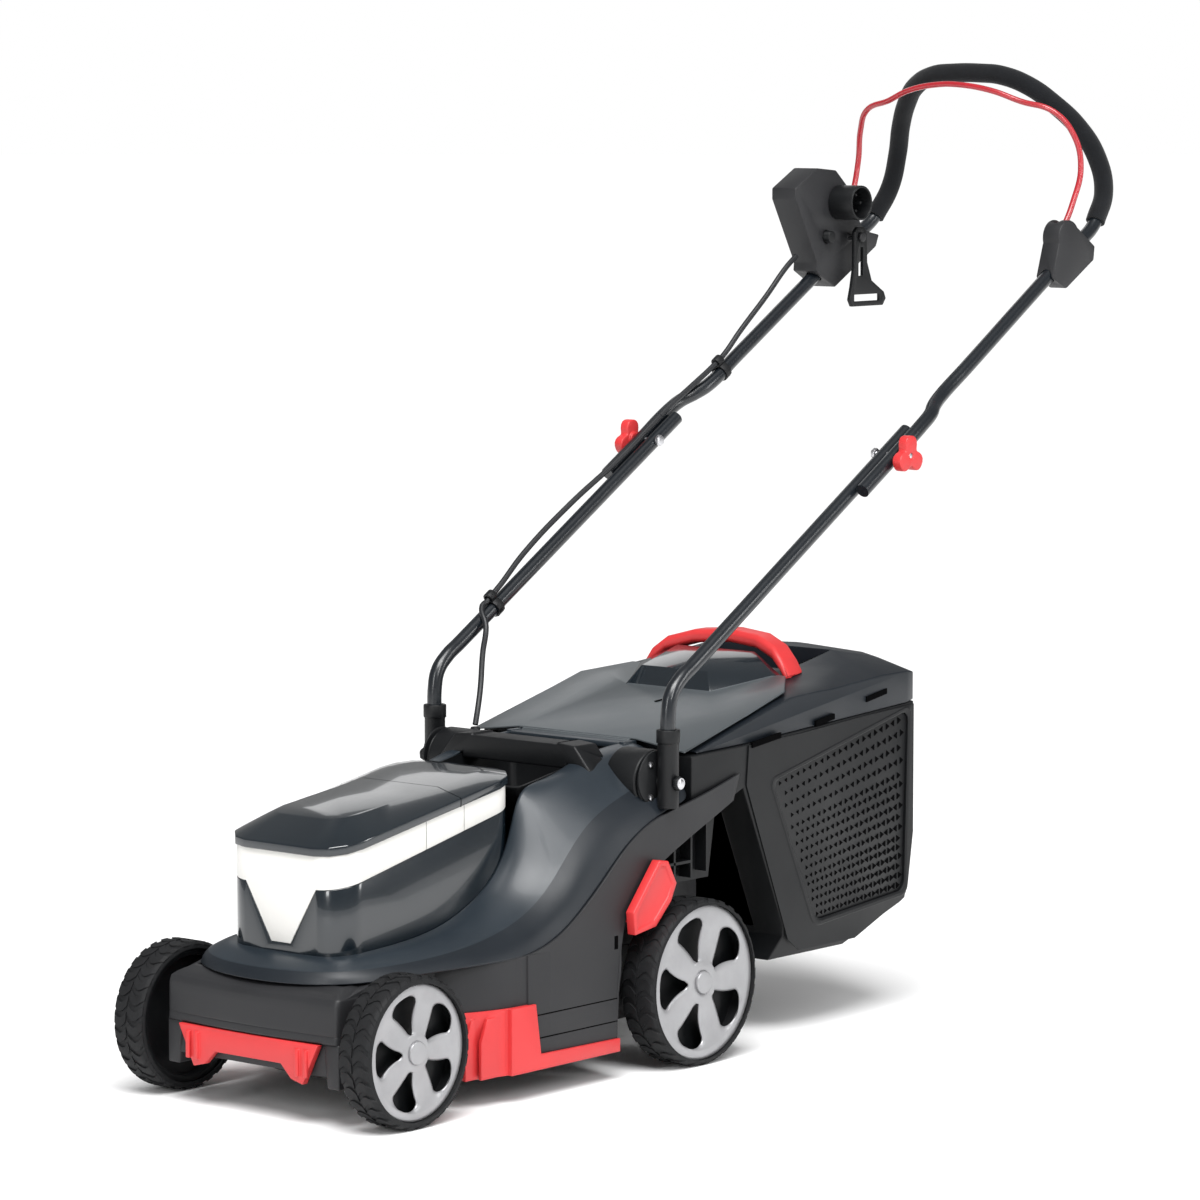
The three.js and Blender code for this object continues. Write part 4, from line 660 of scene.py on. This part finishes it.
def wheel_cover(name, spec, side, body, node):
    """A dished silver cover with five crowned spokes and a flat hub cap."""
    reach, half = spec["rim"] - 0.2, spec["width"] / 2
    centre = side * (spec["outer"] - half)
    bm = bmesh.new()
    columns = 12
    for k in range(SPOKES):
        rows = []
        for share in COVER_SHARES:
            first = math.tau * (k - 0.5) / SPOKES + opening(share)
            last = math.tau * (k + 0.5) / SPOKES - opening(share)
            dish = 2.6 * math.sin(math.pi * min(1, max(0, (share - 0.2) / 0.68)))
            lip = 1.6 * max(0, (share - 0.96) / 0.04) ** 2
            row = []
            for j in range(columns + 1):
                t = j / columns
                roll = 1.3 * abs(2 * t - 1) ** 5 if opening(share) else 0
                angle = first + (last - first) * t
                row.append(bm.verts.new((
                    centre + side * (half - 3.9 - dish - lip - roll),
                    spec["y"] + share * reach * math.cos(angle),
                    spec["r"] + share * reach * math.sin(angle))))
            rows.append(row)
        for a, b in zip(rows, rows[1:]):
            for j in range(columns):
                bm.faces.new((a[j], a[j + 1], b[j + 1], b[j]))
    bmesh.ops.remove_doubles(bm, verts=bm.verts, dist=0.02)
    bmesh.ops.recalc_face_normals(bm, faces=bm.faces)
    if sum(face.normal.x * face.calc_area() for face in bm.faces) * side < 0:
        bmesh.ops.reverse_faces(bm, faces=bm.faces)
    made = piece(name, bm, "silver", body, [node], 50)
    wall = made.modifiers.new("wall", "SOLIDIFY")
    wall.thickness, wall.offset = 2.6 * MM, -1
    bm = bmesh.new()
    inner, outer = centre + side * (half - 9), centre + side * (half - 1.2)
    rod_x(bm, HUB_R, inner, outer, spec["y"], spec["r"], 40)
    round_edges(bm, 1.2, segments=3)
    piece(f"{name}_hub", bm, "silver", body)


def build_wheels():
    for axle, spec in WHEELS.items():
        for label, side in (("left", 1), ("right", -1)):
            body = f"{axle}_{label}_wheel"
            made = tyre(f"{axle}_{label}_tread", spec, side, body)
            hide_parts(f"{axle}_tyre_{label}")
            rounded(f"{axle}_wheel_{label}", "black", 0.0007)
            wheel_cover(f"{axle}_{label}_cover", spec, side, body, f"{axle}_wheel_cover_{label}")


# ------------------------------------------------------------------ body


# Lines along the hood from beside the flap to the middle of the front, for its left half:
# where it meets the cover, its inner ridge, its sharp shoulder, the flank and the lower edge.
HOOD_LINES = [
    [(76, 446, 336), (76, 405, 334), (76, 360, 327), (77, 325, 314), (79, 290, 309), (81, 266, 305),
     (81, 254, 285), (81, 242, 245), (81, 218, 214), (81, 180, 190), (81, 130, 173), (81, 75, 167),
     (81, 25, 165), (74, -2, 163), (45, -13, 162), (0, -13, 162)],
    [(98, 446, 333), (98, 405, 333), (98, 360, 326), (99, 322, 318), (100, 292, 306), (101, 264, 284),
     (101, 245, 258), (101, 228, 228), (101, 206, 205), (101, 176, 187), (101, 128, 174),
     (100, 72, 168), (97, 20, 166), (86, -12, 163), (50, -27, 161), (0, -30, 161)],
    [(138, 446, 306), (138, 400, 304), (139, 365, 294), (139, 335, 284), (138, 306, 270),
     (138, 278, 246), (138, 256, 222), (138, 232, 201), (138, 202, 184), (138, 165, 172),
     (134, 116, 162), (126, 66, 157), (117, 14, 155), (98, -24, 153), (54, -44, 151), (0, -50, 151)],
    [(152, 446, 294), (153, 404, 290), (155, 368, 279), (156, 337, 266), (156, 309, 249),
     (156, 276, 222), (156, 250, 196), (156, 222, 179), (156, 192, 167), (155, 158, 161),
     (147, 112, 156), (134, 62, 152), (122, 10, 150), (101, -28, 148), (55, -48, 146), (0, -54, 146)],
    [(160, 446, 280), (162, 406, 275), (163, 368, 261), (163, 335, 242), (163, 308, 218),
     (163, 271, 188), (163, 240, 167), (163, 210, 155), (163, 184, 150), (161, 152, 148),
     (152, 108, 147), (137, 58, 146), (124, 6, 143), (102, -30, 141), (55, -50, 139), (0, -56, 139)],
]
HOOD_FOLDS = [0.4, 0.15, 1.0, 0.0, 0.3]
SHOULDER = 2
PIVOT_Y, PIVOT_Z = 405, 304
BOSS_R = 33
TRAY = {"x": 75, "y0": 268, "y1": 431, "floor": 268}


def both_sides(half):
    """A line that runs along the left half and back along its mirror image."""
    return half + [(-x, y, z) for x, y, z in reversed(half[:-1])]


def build_hood():
    lines = [both_sides(line) for line in HOOD_LINES]
    shell = skin("hood_shell", lines, "satin_blue", 2.5, HOOD_FOLDS, 3,
                 replaces=["hood"])
    # Faces past the sharp shoulder take the darker satin: painted shade on the hood's steep flank,
    # not a second colour of the moulding.
    shell.data.materials.append(FINISH["lid_satin_and_flank_shade"])
    flank = SHOULDER * len(lines[0])
    for face in shell.data.polygons:
        if min(face.vertices) >= flank:
            face.material_index = 1
    bm = bmesh.new()
    x, y0, y1, floor = TRAY["x"], TRAY["y0"], TRAY["y1"], TRAY["floor"]
    verts = block(bm, (-x, y0, floor), (x, y1, 334))
    for vert in verts:
        if vert.co.z < 300:
            vert.co.y += 24 if vert.co.y < 300 else -4
            vert.co.x *= 0.95
        elif vert.co.y < 300:
            vert.co.z = 306
    lid = [
        face for face in bm.faces
        if face.normal.z > 0.7 or all(vert.co.z > 300 for vert in face.verts)
    ]
    bmesh.ops.delete(bm, geom=lid, context="FACES_ONLY")
    bmesh.ops.recalc_face_normals(bm, faces=bm.faces)
    bmesh.ops.bevel(
        bm, geom=[e for e in bm.edges if len(e.link_faces) == 2], offset=7, offset_type="OFFSET",
        segments=3, profile=0.5, affect="EDGES", material=-1)
    bmesh.ops.solidify(bm, geom=bm.faces, thickness=-2.5)
    piece("handle_tray", bm, "black", "base")
    bm = bmesh.new()
    block(bm, (-76, 428, 330), (76, 446, 336))
    block(bm, (76, 430, 325), (83, 452, 337))
    block(bm, (-83, 430, 325), (-76, 452, 337))
    round_edges(bm, 1.2)
    piece("flap_mount", bm, "satin_blue", "base")
    for label, side in (("left", 1), ("right", -1)):
        bm = bmesh.new()
        rod_x(bm, BOSS_R, side * 104, side * 146, PIVOT_Y, PIVOT_Z, 48)
        rod_x(bm, BOSS_R - 2, side * 146, side * 150, PIVOT_Y, PIVOT_Z, 48)
        round_edges(bm, 2.5, segments=3)
        piece(f"handle_boss_{label}", bm, "black", "base")
    bm = bmesh.new()
    bmesh.ops.create_cone(
        bm, cap_ends=True, segments=28, radius1=8, radius2=5, depth=20,
        matrix=Matrix.Translation((-128, 430, 325.7)))
    round_edges(bm, 0.8)
    piece("cable_gland", bm, "black", "base")


# Stations of the deck's side from its front round to the band over the rear wheel:
# the lower end, the upper end and how far out it stands.
SIDE_STATIONS = [
    ((112, 66, 34), (117, 58, 145)), ((130, 87, 31), (130, 87, 146)),
    ((145, 110, 31), (145, 110, 147)), ((157, 141, 31), (157, 141, 148)),
    ((161.5, 168, 31), (161.5, 168, 149)), ((164.6, 188, 31), (164.6, 188, 151)),
    ((165.25, 225, 31), (165.25, 225, 160)), ((165.25, 262, 31), (165.25, 262, 182)),
    ((165.25, 296, 31), (165.25, 296, 208)), ((165.25, 321, 31), (165.25, 321, 230)),
    ((165.25, 323, 80), (165.25, 330, 237)), ((165.25, 326, 135), (165.25, 342, 246)),
    ((165.25, 337, 180), (165.25, 360, 257)), ((165.25, 364, 203), (165.25, 383, 267)),
    ((165.25, 403, 225), (165.25, 413, 274)), ((164, 438, 239), (164, 443, 279)),
    ((162, 467, 250), (162, 475, 285)), ((160, 500, 262), (160, 506, 292)),
    ((158.5, 523, 271), (158.5, 534, 299)),
]
GROOVES = (62, 86)


def build_sides():
    """The deck's flanks with their grooves, and the ribs behind the band over the wheel."""
    for label, side in (("left", 1), ("right", -1)):
        lines = []
        for share, inset in (
            (0, 3.5), (0, 0), (0.03, 0), (0.33, 0), (0.66, 0), (0.97, 0), (1, 0), (1, 3),
        ):
            lines.append([
                (side * (low[0] + (high[0] - low[0]) * share - inset),
                 low[1] + (high[1] - low[1]) * share, low[2] + (high[2] - low[2]) * share)
                for low, high in SIDE_STATIONS
            ])
        folds = [0, 0.6, 0, 0, 0, 0, 0.6, 0]
        skin(f"side_panel_{label}", lines, "grey", 2, folds, 2, (side, 0, 0))
        bm = bmesh.new()
        for z in GROOVES:
            x0, x1 = sorted((side * 164.8, side * 165.4))
            block(bm, (x0, 190, z - 0.6), (x1, 321, z + 0.6))
        x0, x1 = sorted((side * 164.8, side * 165.45))
        block(bm, (x0, 316.5, 138), (x1, 322.2, 152))
        piece(f"side_grooves_{label}", bm, "shadow", "base")
        bm = bmesh.new()
        x0, x1 = sorted((side * 140, side * 157))
        for y, z0, z1 in ((398, 192, 226), (424, 194, 236), (452, 196, 246), (478, 200, 254)):
            block(bm, (x0, y, z0), (x1, y + 3, z1))
        block(bm, (x0, 398, 212), (x1, 452, 215))
        x0, x1 = sorted((side * 139, side * 142))
        plate(bm, [(385, 190), (500, 190), (512, 262), (440, 240), (396, 218)], x0, x1)
        piece(f"arch_ribs_{label}", bm, "black", "base")


def build_nose():
    """The bowed front of the deck with its upright corners."""
    def bowed(half, front, z):
        return [
            (x, front - 7 * (1 - (x / half) ** 2), z)
            for x in (-half, -half * 0.97, -half * 0.8, -half * 0.4, 0, half * 0.4, half * 0.8,
                      half * 0.97, half)
        ]
    def wrapped(half, front, z, back):
        return [(-half - 0.5, back, z), *bowed(half, front, z), (half + 0.5, back, z)]
    lines = [
        wrapped(104, -30, 140, 6), wrapped(114, -46, 135, 8), wrapped(119, -53, 130, 10),
        wrapped(119.5, -55, 124, 10), wrapped(119.5, -55.5, 94.5, 10),
        wrapped(119.5, -55, 93.6, 10), wrapped(119.5, -55.5, 92.7, 10),
        wrapped(119.5, -56, 86, 10), wrapped(119.5, -53, 84.5, 10),
    ]
    folds = [0, 0.2, 0.7, 0.6, 0.5, 1, 0.5, 0.8, 0]
    skin("nose_shell", lines, "grey", 2, folds, 2, (0, -1, 0.3))
    for label, side in (("left", 1), ("right", -1)):
        bm = bmesh.new()
        verts = block(bm, (side * 98, -55, 40), (side * 119.5, -30, 86))
        for vert in verts:
            if vert.co.z < 50 and abs(vert.co.x) < 110:
                vert.co.x += side * 5
        bmesh.ops.recalc_face_normals(bm, faces=bm.faces)
        round_edges(bm, 2.5, segments=3)
        piece(f"nose_leg_{label}", bm, "grey", "base")


def seam(name, node, y, width=0.8, lift=0.22):
    """A fine dark parting line round a moulding, across its length at y."""
    bm = merged_copy(node)
    for edge, way in ((y, 1), (y + width, -1)):
        bmesh.ops.bisect_plane(
            bm, geom=bm.verts[:] + bm.edges[:] + bm.faces[:], plane_co=place(0, edge, 0),
            plane_no=(0, way, 0), clear_inner=True)
    bm.normal_update()
    across = [face for face in bm.faces if abs(face.normal.y) > 0.98]
    bmesh.ops.delete(bm, geom=across, context="FACES_ONLY")
    middle = sum((v.co for v in bm.verts), Vector()) / len(bm.verts)
    for vert in bm.verts:
        away = Vector((vert.co.x, 0, vert.co.z - middle.z)).normalized()
        vert.co += away * lift * MM
    piece(name, bm, "shadow", body_of(node), in_mm=False)


def build_body():
    rounded("deck", "grey", 0.0006)
    build_hood()
    build_sides()
    build_nose()
    rounded("motor_cover", "gloss_blue", 0.0008, smooth=40)
    rounded("cover_trim", "white", 0.0005, smooth=40)
    rounded("motor_cap", "gloss_blue", 0.0012, smooth=20, segments=3)
    seam("cap_parting", "motor_cap", 168)
    for k, y in enumerate((118, 176)):
        seam(f"trim_parting_{k}", "cover_trim", y, 0.5)
    rounded("carry_handle", "black", 0.0022, segments=3)
    rounded("front_bumper", "red", 0.0009)
    for side in ("left", "right"):
        rounded(f"side_comb_{side}", "red", 0.0007)


def build_works():
    """Motor, blade, axles and link under the covers."""
    for node in ("motor_shaft", "blade_carrier", "blade_bolt", "front_axle", "rear_axle"):
        rounded(node, "zinc", 0.0004, smooth=40)
    rounded("blade", "blade_steel", 0.0004)
    rounded("motor", "motor_can", 0.0006)
    for node in ("cooling_fan", "motor_mount"):
        rounded(node, "black", 0.0005)
    paint("height_link", "black")


def build_lever():
    """The lever, with a recess in the outer face of its grip."""
    bm = merged_copy("height_lever")
    out = max(vert.co.x for vert in bm.verts)
    outer = [f for f in bm.faces if f.normal.x > 0.6 and f.calc_center_median().x > out - 0.006]
    face = max(outer, key=lambda f: f.calc_area())
    bmesh.ops.inset_region(bm, faces=[face], thickness=0.0065, depth=0)
    bmesh.ops.inset_region(bm, faces=[face], thickness=0.0008, depth=-0.0018)
    round_edges(bm, 0.0009, 26, 2)
    piece("height_lever_grip", bm, "red", body_of("height_lever"),
          ["height_lever"], in_mm=False)


# ------------------------------------------------------------------ handle

UPPER_HALF = [
    (181.2, 718, 591.8), (181.2, 775, 626.5), (181.2, 826, 657.9), (178.5, 846, 669),
    (171, 862, 676.8), (166, 880, 685.6), (165.4, 930, 715.8), (163, 1120, 831), (162.3, 1152, 849.3),
    (159.6, 1190, 873.5), (154.5, 1214, 909), (144.2, 1214, 947), (128, 1199, 982),
    (105, 1180, 1010), (82, 1166, 1029), (50, 1157, 1041.5), (18, 1155.2, 1044.4),
]
GRIP_FROM = 9
TUBE_R, GRIP_R, BAIL_R = 8, 11.2, 3.4
LOWER_TUBE = [
    (164.6, 405, 281), (164.6, 405, 340), (164.6, 405.3, 380), (164.6, 410, 396),
    (164.6, 424, 410.5), (164.6, 445, 423.2), (164.6, 600, 517.4), (164.6, 820.5, 651.4),
]
BAIL_HALF = [
    (160, 1117, 857), (160, 1143, 895), (160.7, 1158, 939), (153, 1152, 976), (135, 1140, 1000),
    (95, 1130, 1012), (60, 1122, 1024), (15, 1118, 1031),
]


def whole(half):
    return half + [(-x, y, z) for x, y, z in reversed(half)]


def build_handle():
    tube("upper_bow", whole(UPPER_HALF), TUBE_R, "tube", "upper_handle", "black_tube",
         ["upper_handle"])
    grip = whole(UPPER_HALF[GRIP_FROM:])
    foam = tube("grip_sleeve", grip, GRIP_R, "foam", "upper_handle", "foam", ["foam_grip"])
    for label, side in (("left", 1), ("right", -1)):
        points = [(side * x, y, z) for x, y, z in LOWER_TUBE]
        tube(f"lower_tube_{label}_coated", points, TUBE_R, "tube", "lower_handle", "black_tube",
             [f"lower_tube_{label}"])
        rounded(f"socket_{label}", "black", 0.0008, smooth=40)
        rounded(f"pivot_plate_{label}", "black", 0.0006, smooth=40)
        rounded(f"clamp_bolt_{label}", "zinc", 0.0004)
        rounded(f"knob_{label}", "red", 0.0016, smooth=50, segments=3)
        bm = bmesh.new()
        screw(bm, side * 181.2, 405, 304, side, 6)
        piece(f"stud_head_{label}", bm, "zinc", "base")
        bm = bmesh.new()
        for y, z in ((391, 323), (391, 288)):
            screw(bm, side * 152.4, y, z, side, 3.6)
        piece(f"plate_screws_{label}", bm, "zinc", "base")
    rounded("lower_clip", "black", 0.0005, smooth=40)
    rounded("upper_clip", "black", 0.0005, smooth=40)


def build_controls():
    tube("bail_rod", whole(BAIL_HALF), BAIL_R, "rod_red", "bail", "red_rod", ["bail"])
    bm = bmesh.new()
    for side in (1, -1):
        rod_x(bm, BAIL_R, side * 153, side * 168, 1117, 857)
    piece("bail_stubs", bm, "rod_red", "bail")
    rounded("bail_bracket", "grey", 0.0016, smooth=40)
    rounded("switch_box", "grey", 0.0016)
    rounded("cable_hook", "black", 0.0008)
    rounded("power_inlet", "black", 0.0006, smooth=40)
    rounded("lock_button", "black", 0.0008, smooth=40)


PANEL = {
    "low_front": (669, 122), "low_rear": (831, 136),
    "top_rear": (837, 338), "top_front": (593, 283),
}
FRAME_OUTLINE = [
    (621, 107), (640, 93), (741, 93), (832, 128), (848, 200), (848, 344), (760, 339), (640, 331),
    (552, 327), (548, 284),
]


def on_panel(along, up):
    """A place (y, z) on the perforated panel, from shares of its length and height."""
    low = [a + (b - a) * along for a, b in zip(PANEL["low_front"], PANEL["low_rear"])]
    top = [a + (b - a) * along for a, b in zip(PANEL["top_front"], PANEL["top_rear"])]
    return [a + (b - a) * up for a, b in zip(low, top)]


def panel_outline(grow):
    """The panel's outline with round corners."""
    bm = bmesh.new()
    spots = [PANEL[k] for k in ("low_front", "low_rear", "top_rear", "top_front")]
    middle = [sum(p[i] for p in spots) / 4 for i in (0, 1)]
    verts = []
    for y, z in spots:
        length = math.hypot(y - middle[0], z - middle[1])
        verts.append(bm.verts.new((
            0, y + (y - middle[0]) / length * grow, z + (z - middle[1]) / length * grow)))
    bm.faces.new(verts)
    bmesh.ops.bevel(
        bm, geom=bm.verts[:], offset=12, offset_type="OFFSET", segments=4, profile=0.5,
        affect="VERTICES", material=-1)
    outline = [(loop.vert.co.y, loop.vert.co.z) for loop in next(iter(bm.faces)).loops]
    bm.free()
    return outline


def side_frame(side):
    """The raised frame round the panel, with a rolled inner edge."""
    bm = bmesh.new()
    rows = []
    for grow, x in ((0, 155.2), (0, 157.0), (3, 158.2), (7, 158.2), (9, 157.2)):
        rows.append(chain(bm, [(side * x, y, z) for y, z in panel_outline(grow)], True))
    rows.append(chain(bm, [(side * 156.6, y, z) for y, z in FRAME_OUTLINE], True))
    rows.append(chain(bm, [(side * 154.6, y, z) for y, z in FRAME_OUTLINE], True))
    for first, second in zip(rows, rows[1:]):
        bmesh.ops.bridge_loops(bm, edges=first + second)
    bmesh.ops.recalc_face_normals(bm, faces=bm.faces)
    outer = sum((face.normal * face.calc_area() for face in bm.faces), Vector())
    if outer.x * side < 0:
        bmesh.ops.reverse_faces(bm, faces=bm.faces)
    return bm


BANDS = ((0.655, 0.965, 5), (0.3, 0.60, 6), (0.035, 0.25, 5))
HOLES_ALONG = 21


def side_holes(side):
    """Rows of small three-cornered holes, turned alternately up and down."""
    bm = bmesh.new()
    turn = Matrix.Rotation(math.pi / 2, 4, "Y")
    for low, high, rows in BANDS:
        for row in range(rows):
            up = low + (high - low) * row / (rows - 1)
            for k in range(HOLES_ALONG):
                along = 0.05 + 0.91 * (k + 0.5 * (row % 2)) / (HOLES_ALONG - 0.5)
                y, z = on_panel(along, up)
                flip = math.pi if k % 2 else 0
                spin = Matrix.Rotation(flip, 4, "X")
                bmesh.ops.create_cone(
                    bm, cap_ends=True, segments=3, radius1=2.6 + 1.7 * along,
                    radius2=2.6 + 1.7 * along, depth=0.6,
                    matrix=Matrix.Translation((side * 155.15, y, z)) @ spin @ turn)
    return bm


LID_SLOTS = [((556, 327), (606, 333)), ((669, 339), (702, 344)), ((760, 357), (797, 363))]


def build_grass_box():
    rounded("basket", "black", 0.0016)
    rounded("basket_lid", "lid_satin_and_flank_shade", 0.0014, segments=3)
    rounded("basket_handle", "red", 0.0022, smooth=50, segments=3)
    for label, side in (("left", 1), ("right", -1)):
        piece(f"basket_frame_{label}", side_frame(side), "black", "grass_box",
              smooth=24)
        piece(f"basket_holes_{label}", side_holes(side), "shadow", "grass_box")
        bm = bmesh.new()
        for (y0, z0), (y1, z1) in LID_SLOTS:
            reach = 158.2 if y0 < 640 else 157.4
            verts = block(bm, (side * (reach - 3), y0, z0 - 3), (side * reach, y1, z0 + 3))
            for vert in verts:
                if vert.co.y > (y0 + y1) / 2:
                    vert.co.z += z1 - z0
        bmesh.ops.recalc_face_normals(bm, faces=bm.faces)
        piece(f"lid_slots_{label}", bm, "shadow", "grass_box")


def build_flap():
    bm = merged_copy("rear_flap")
    round_edges(bm, 0.0012, 26, 3)
    made = piece("rear_flap_shell", bm, "flap_grey", "rear_flap", ["rear_flap"],
                 in_mm=False)
    made.data.materials.append(FINISH["gloss_blue"])
    plate_y, plate_z, plate_slope = 450, 339, 0.2145
    for face in made.data.polygons:
        spot = TO_FRAME.inverted() @ face.center
        above = spot.z - (plate_z + (spot.y - plate_y) * plate_slope)
        if above > 1.6 and 596 < spot.y < 695:
            face.material_index = 1
    bm = bmesh.new()
    for vert in block(bm, (18, 560, 362), (21, 576, 363.6)):
        if vert.co.y > 568:
            vert.co.z += 3.5
            vert.co.x += 8
    bmesh.ops.recalc_face_normals(bm, faces=bm.faces)
    piece("flap_slot", bm, "shadow", "rear_flap")
    rounded("flap_pin", "zinc", 0.0003, smooth=40)


# ------------------------------------------------------------------ add-on


class Step:
    """What every build step of the mower shares."""

    bl_options = {"REGISTER", "UNDO"}
    build = None

    def execute(self, context):
        if not FINISH:
            FINISH.update(make_finishes())
        type(self).build()
        return {"FINISHED"}


def step(idname, label, text, build):
    """Makes the operator class of one build step."""
    return type("MOWER_OT_" + idname, (Step, bpy.types.Operator), {
        "bl_idname": "mower." + idname, "bl_label": label, "__doc__": text,
        "build": staticmethod(build),
    })


STEPS = [
    step("stage", "Stage", "Make the camera, the floor and the soft lights", build_stage),
    step("cables", "Cables", "Make the three runs of the cable", build_cables),
    step("wheels", "Wheels", "Make the treads, wheels and spoked covers", build_wheels),
    step("body", "Body", "Make the deck, hood, covers, bumper and combs", build_body),
    step("works", "Works", "Make the motor, blade, axles and link", build_works),
    step("lever", "Height lever", "Make the cutting-height lever", build_lever),
    step("handle", "Handle", "Make the tubes, grip, sockets and knobs", build_handle),
    step("controls", "Controls", "Make the bail, switch box and inlet", build_controls),
    step("grass_box", "Grass box", "Make the grass box, lid and handle", build_grass_box),
    step("flap", "Rear flap", "Make the flap over the grass box", build_flap),
]


class MOWER_PT_panel(bpy.types.Panel):
    """Lists the build steps of the mower."""

    bl_label = "Rotary mower"
    bl_idname = "MOWER_PT_panel"
    bl_space_type = "VIEW_3D"
    bl_region_type = "UI"
    bl_category = "Mower"

    def draw(self, context):
        layout = self.layout
        for name in MowerSizes.__annotations__:
            layout.prop(context.scene.mower_sizes, name)
        for name in MowerColours.__annotations__:
            layout.prop(context.scene.mower_colours, name)
        for operator in STEPS:
            layout.operator(operator.bl_idname)


CLASSES = [MowerColours, MowerSizes, *STEPS, MOWER_PT_panel]


def register():
    for cls in CLASSES:
        bpy.utils.register_class(cls)
    bpy.types.Scene.mower_colours = PointerProperty(type=MowerColours)
    bpy.types.Scene.mower_sizes = PointerProperty(type=MowerSizes)


def unregister():
    del bpy.types.Scene.mower_sizes
    del bpy.types.Scene.mower_colours
    for cls in reversed(CLASSES):
        bpy.utils.unregister_class(cls)


def main():
    register()
    for operator in STEPS:
        group, name = operator.bl_idname.split(".")
        getattr(getattr(bpy.ops, group), name)()


if __name__ == "__main__":
    main()
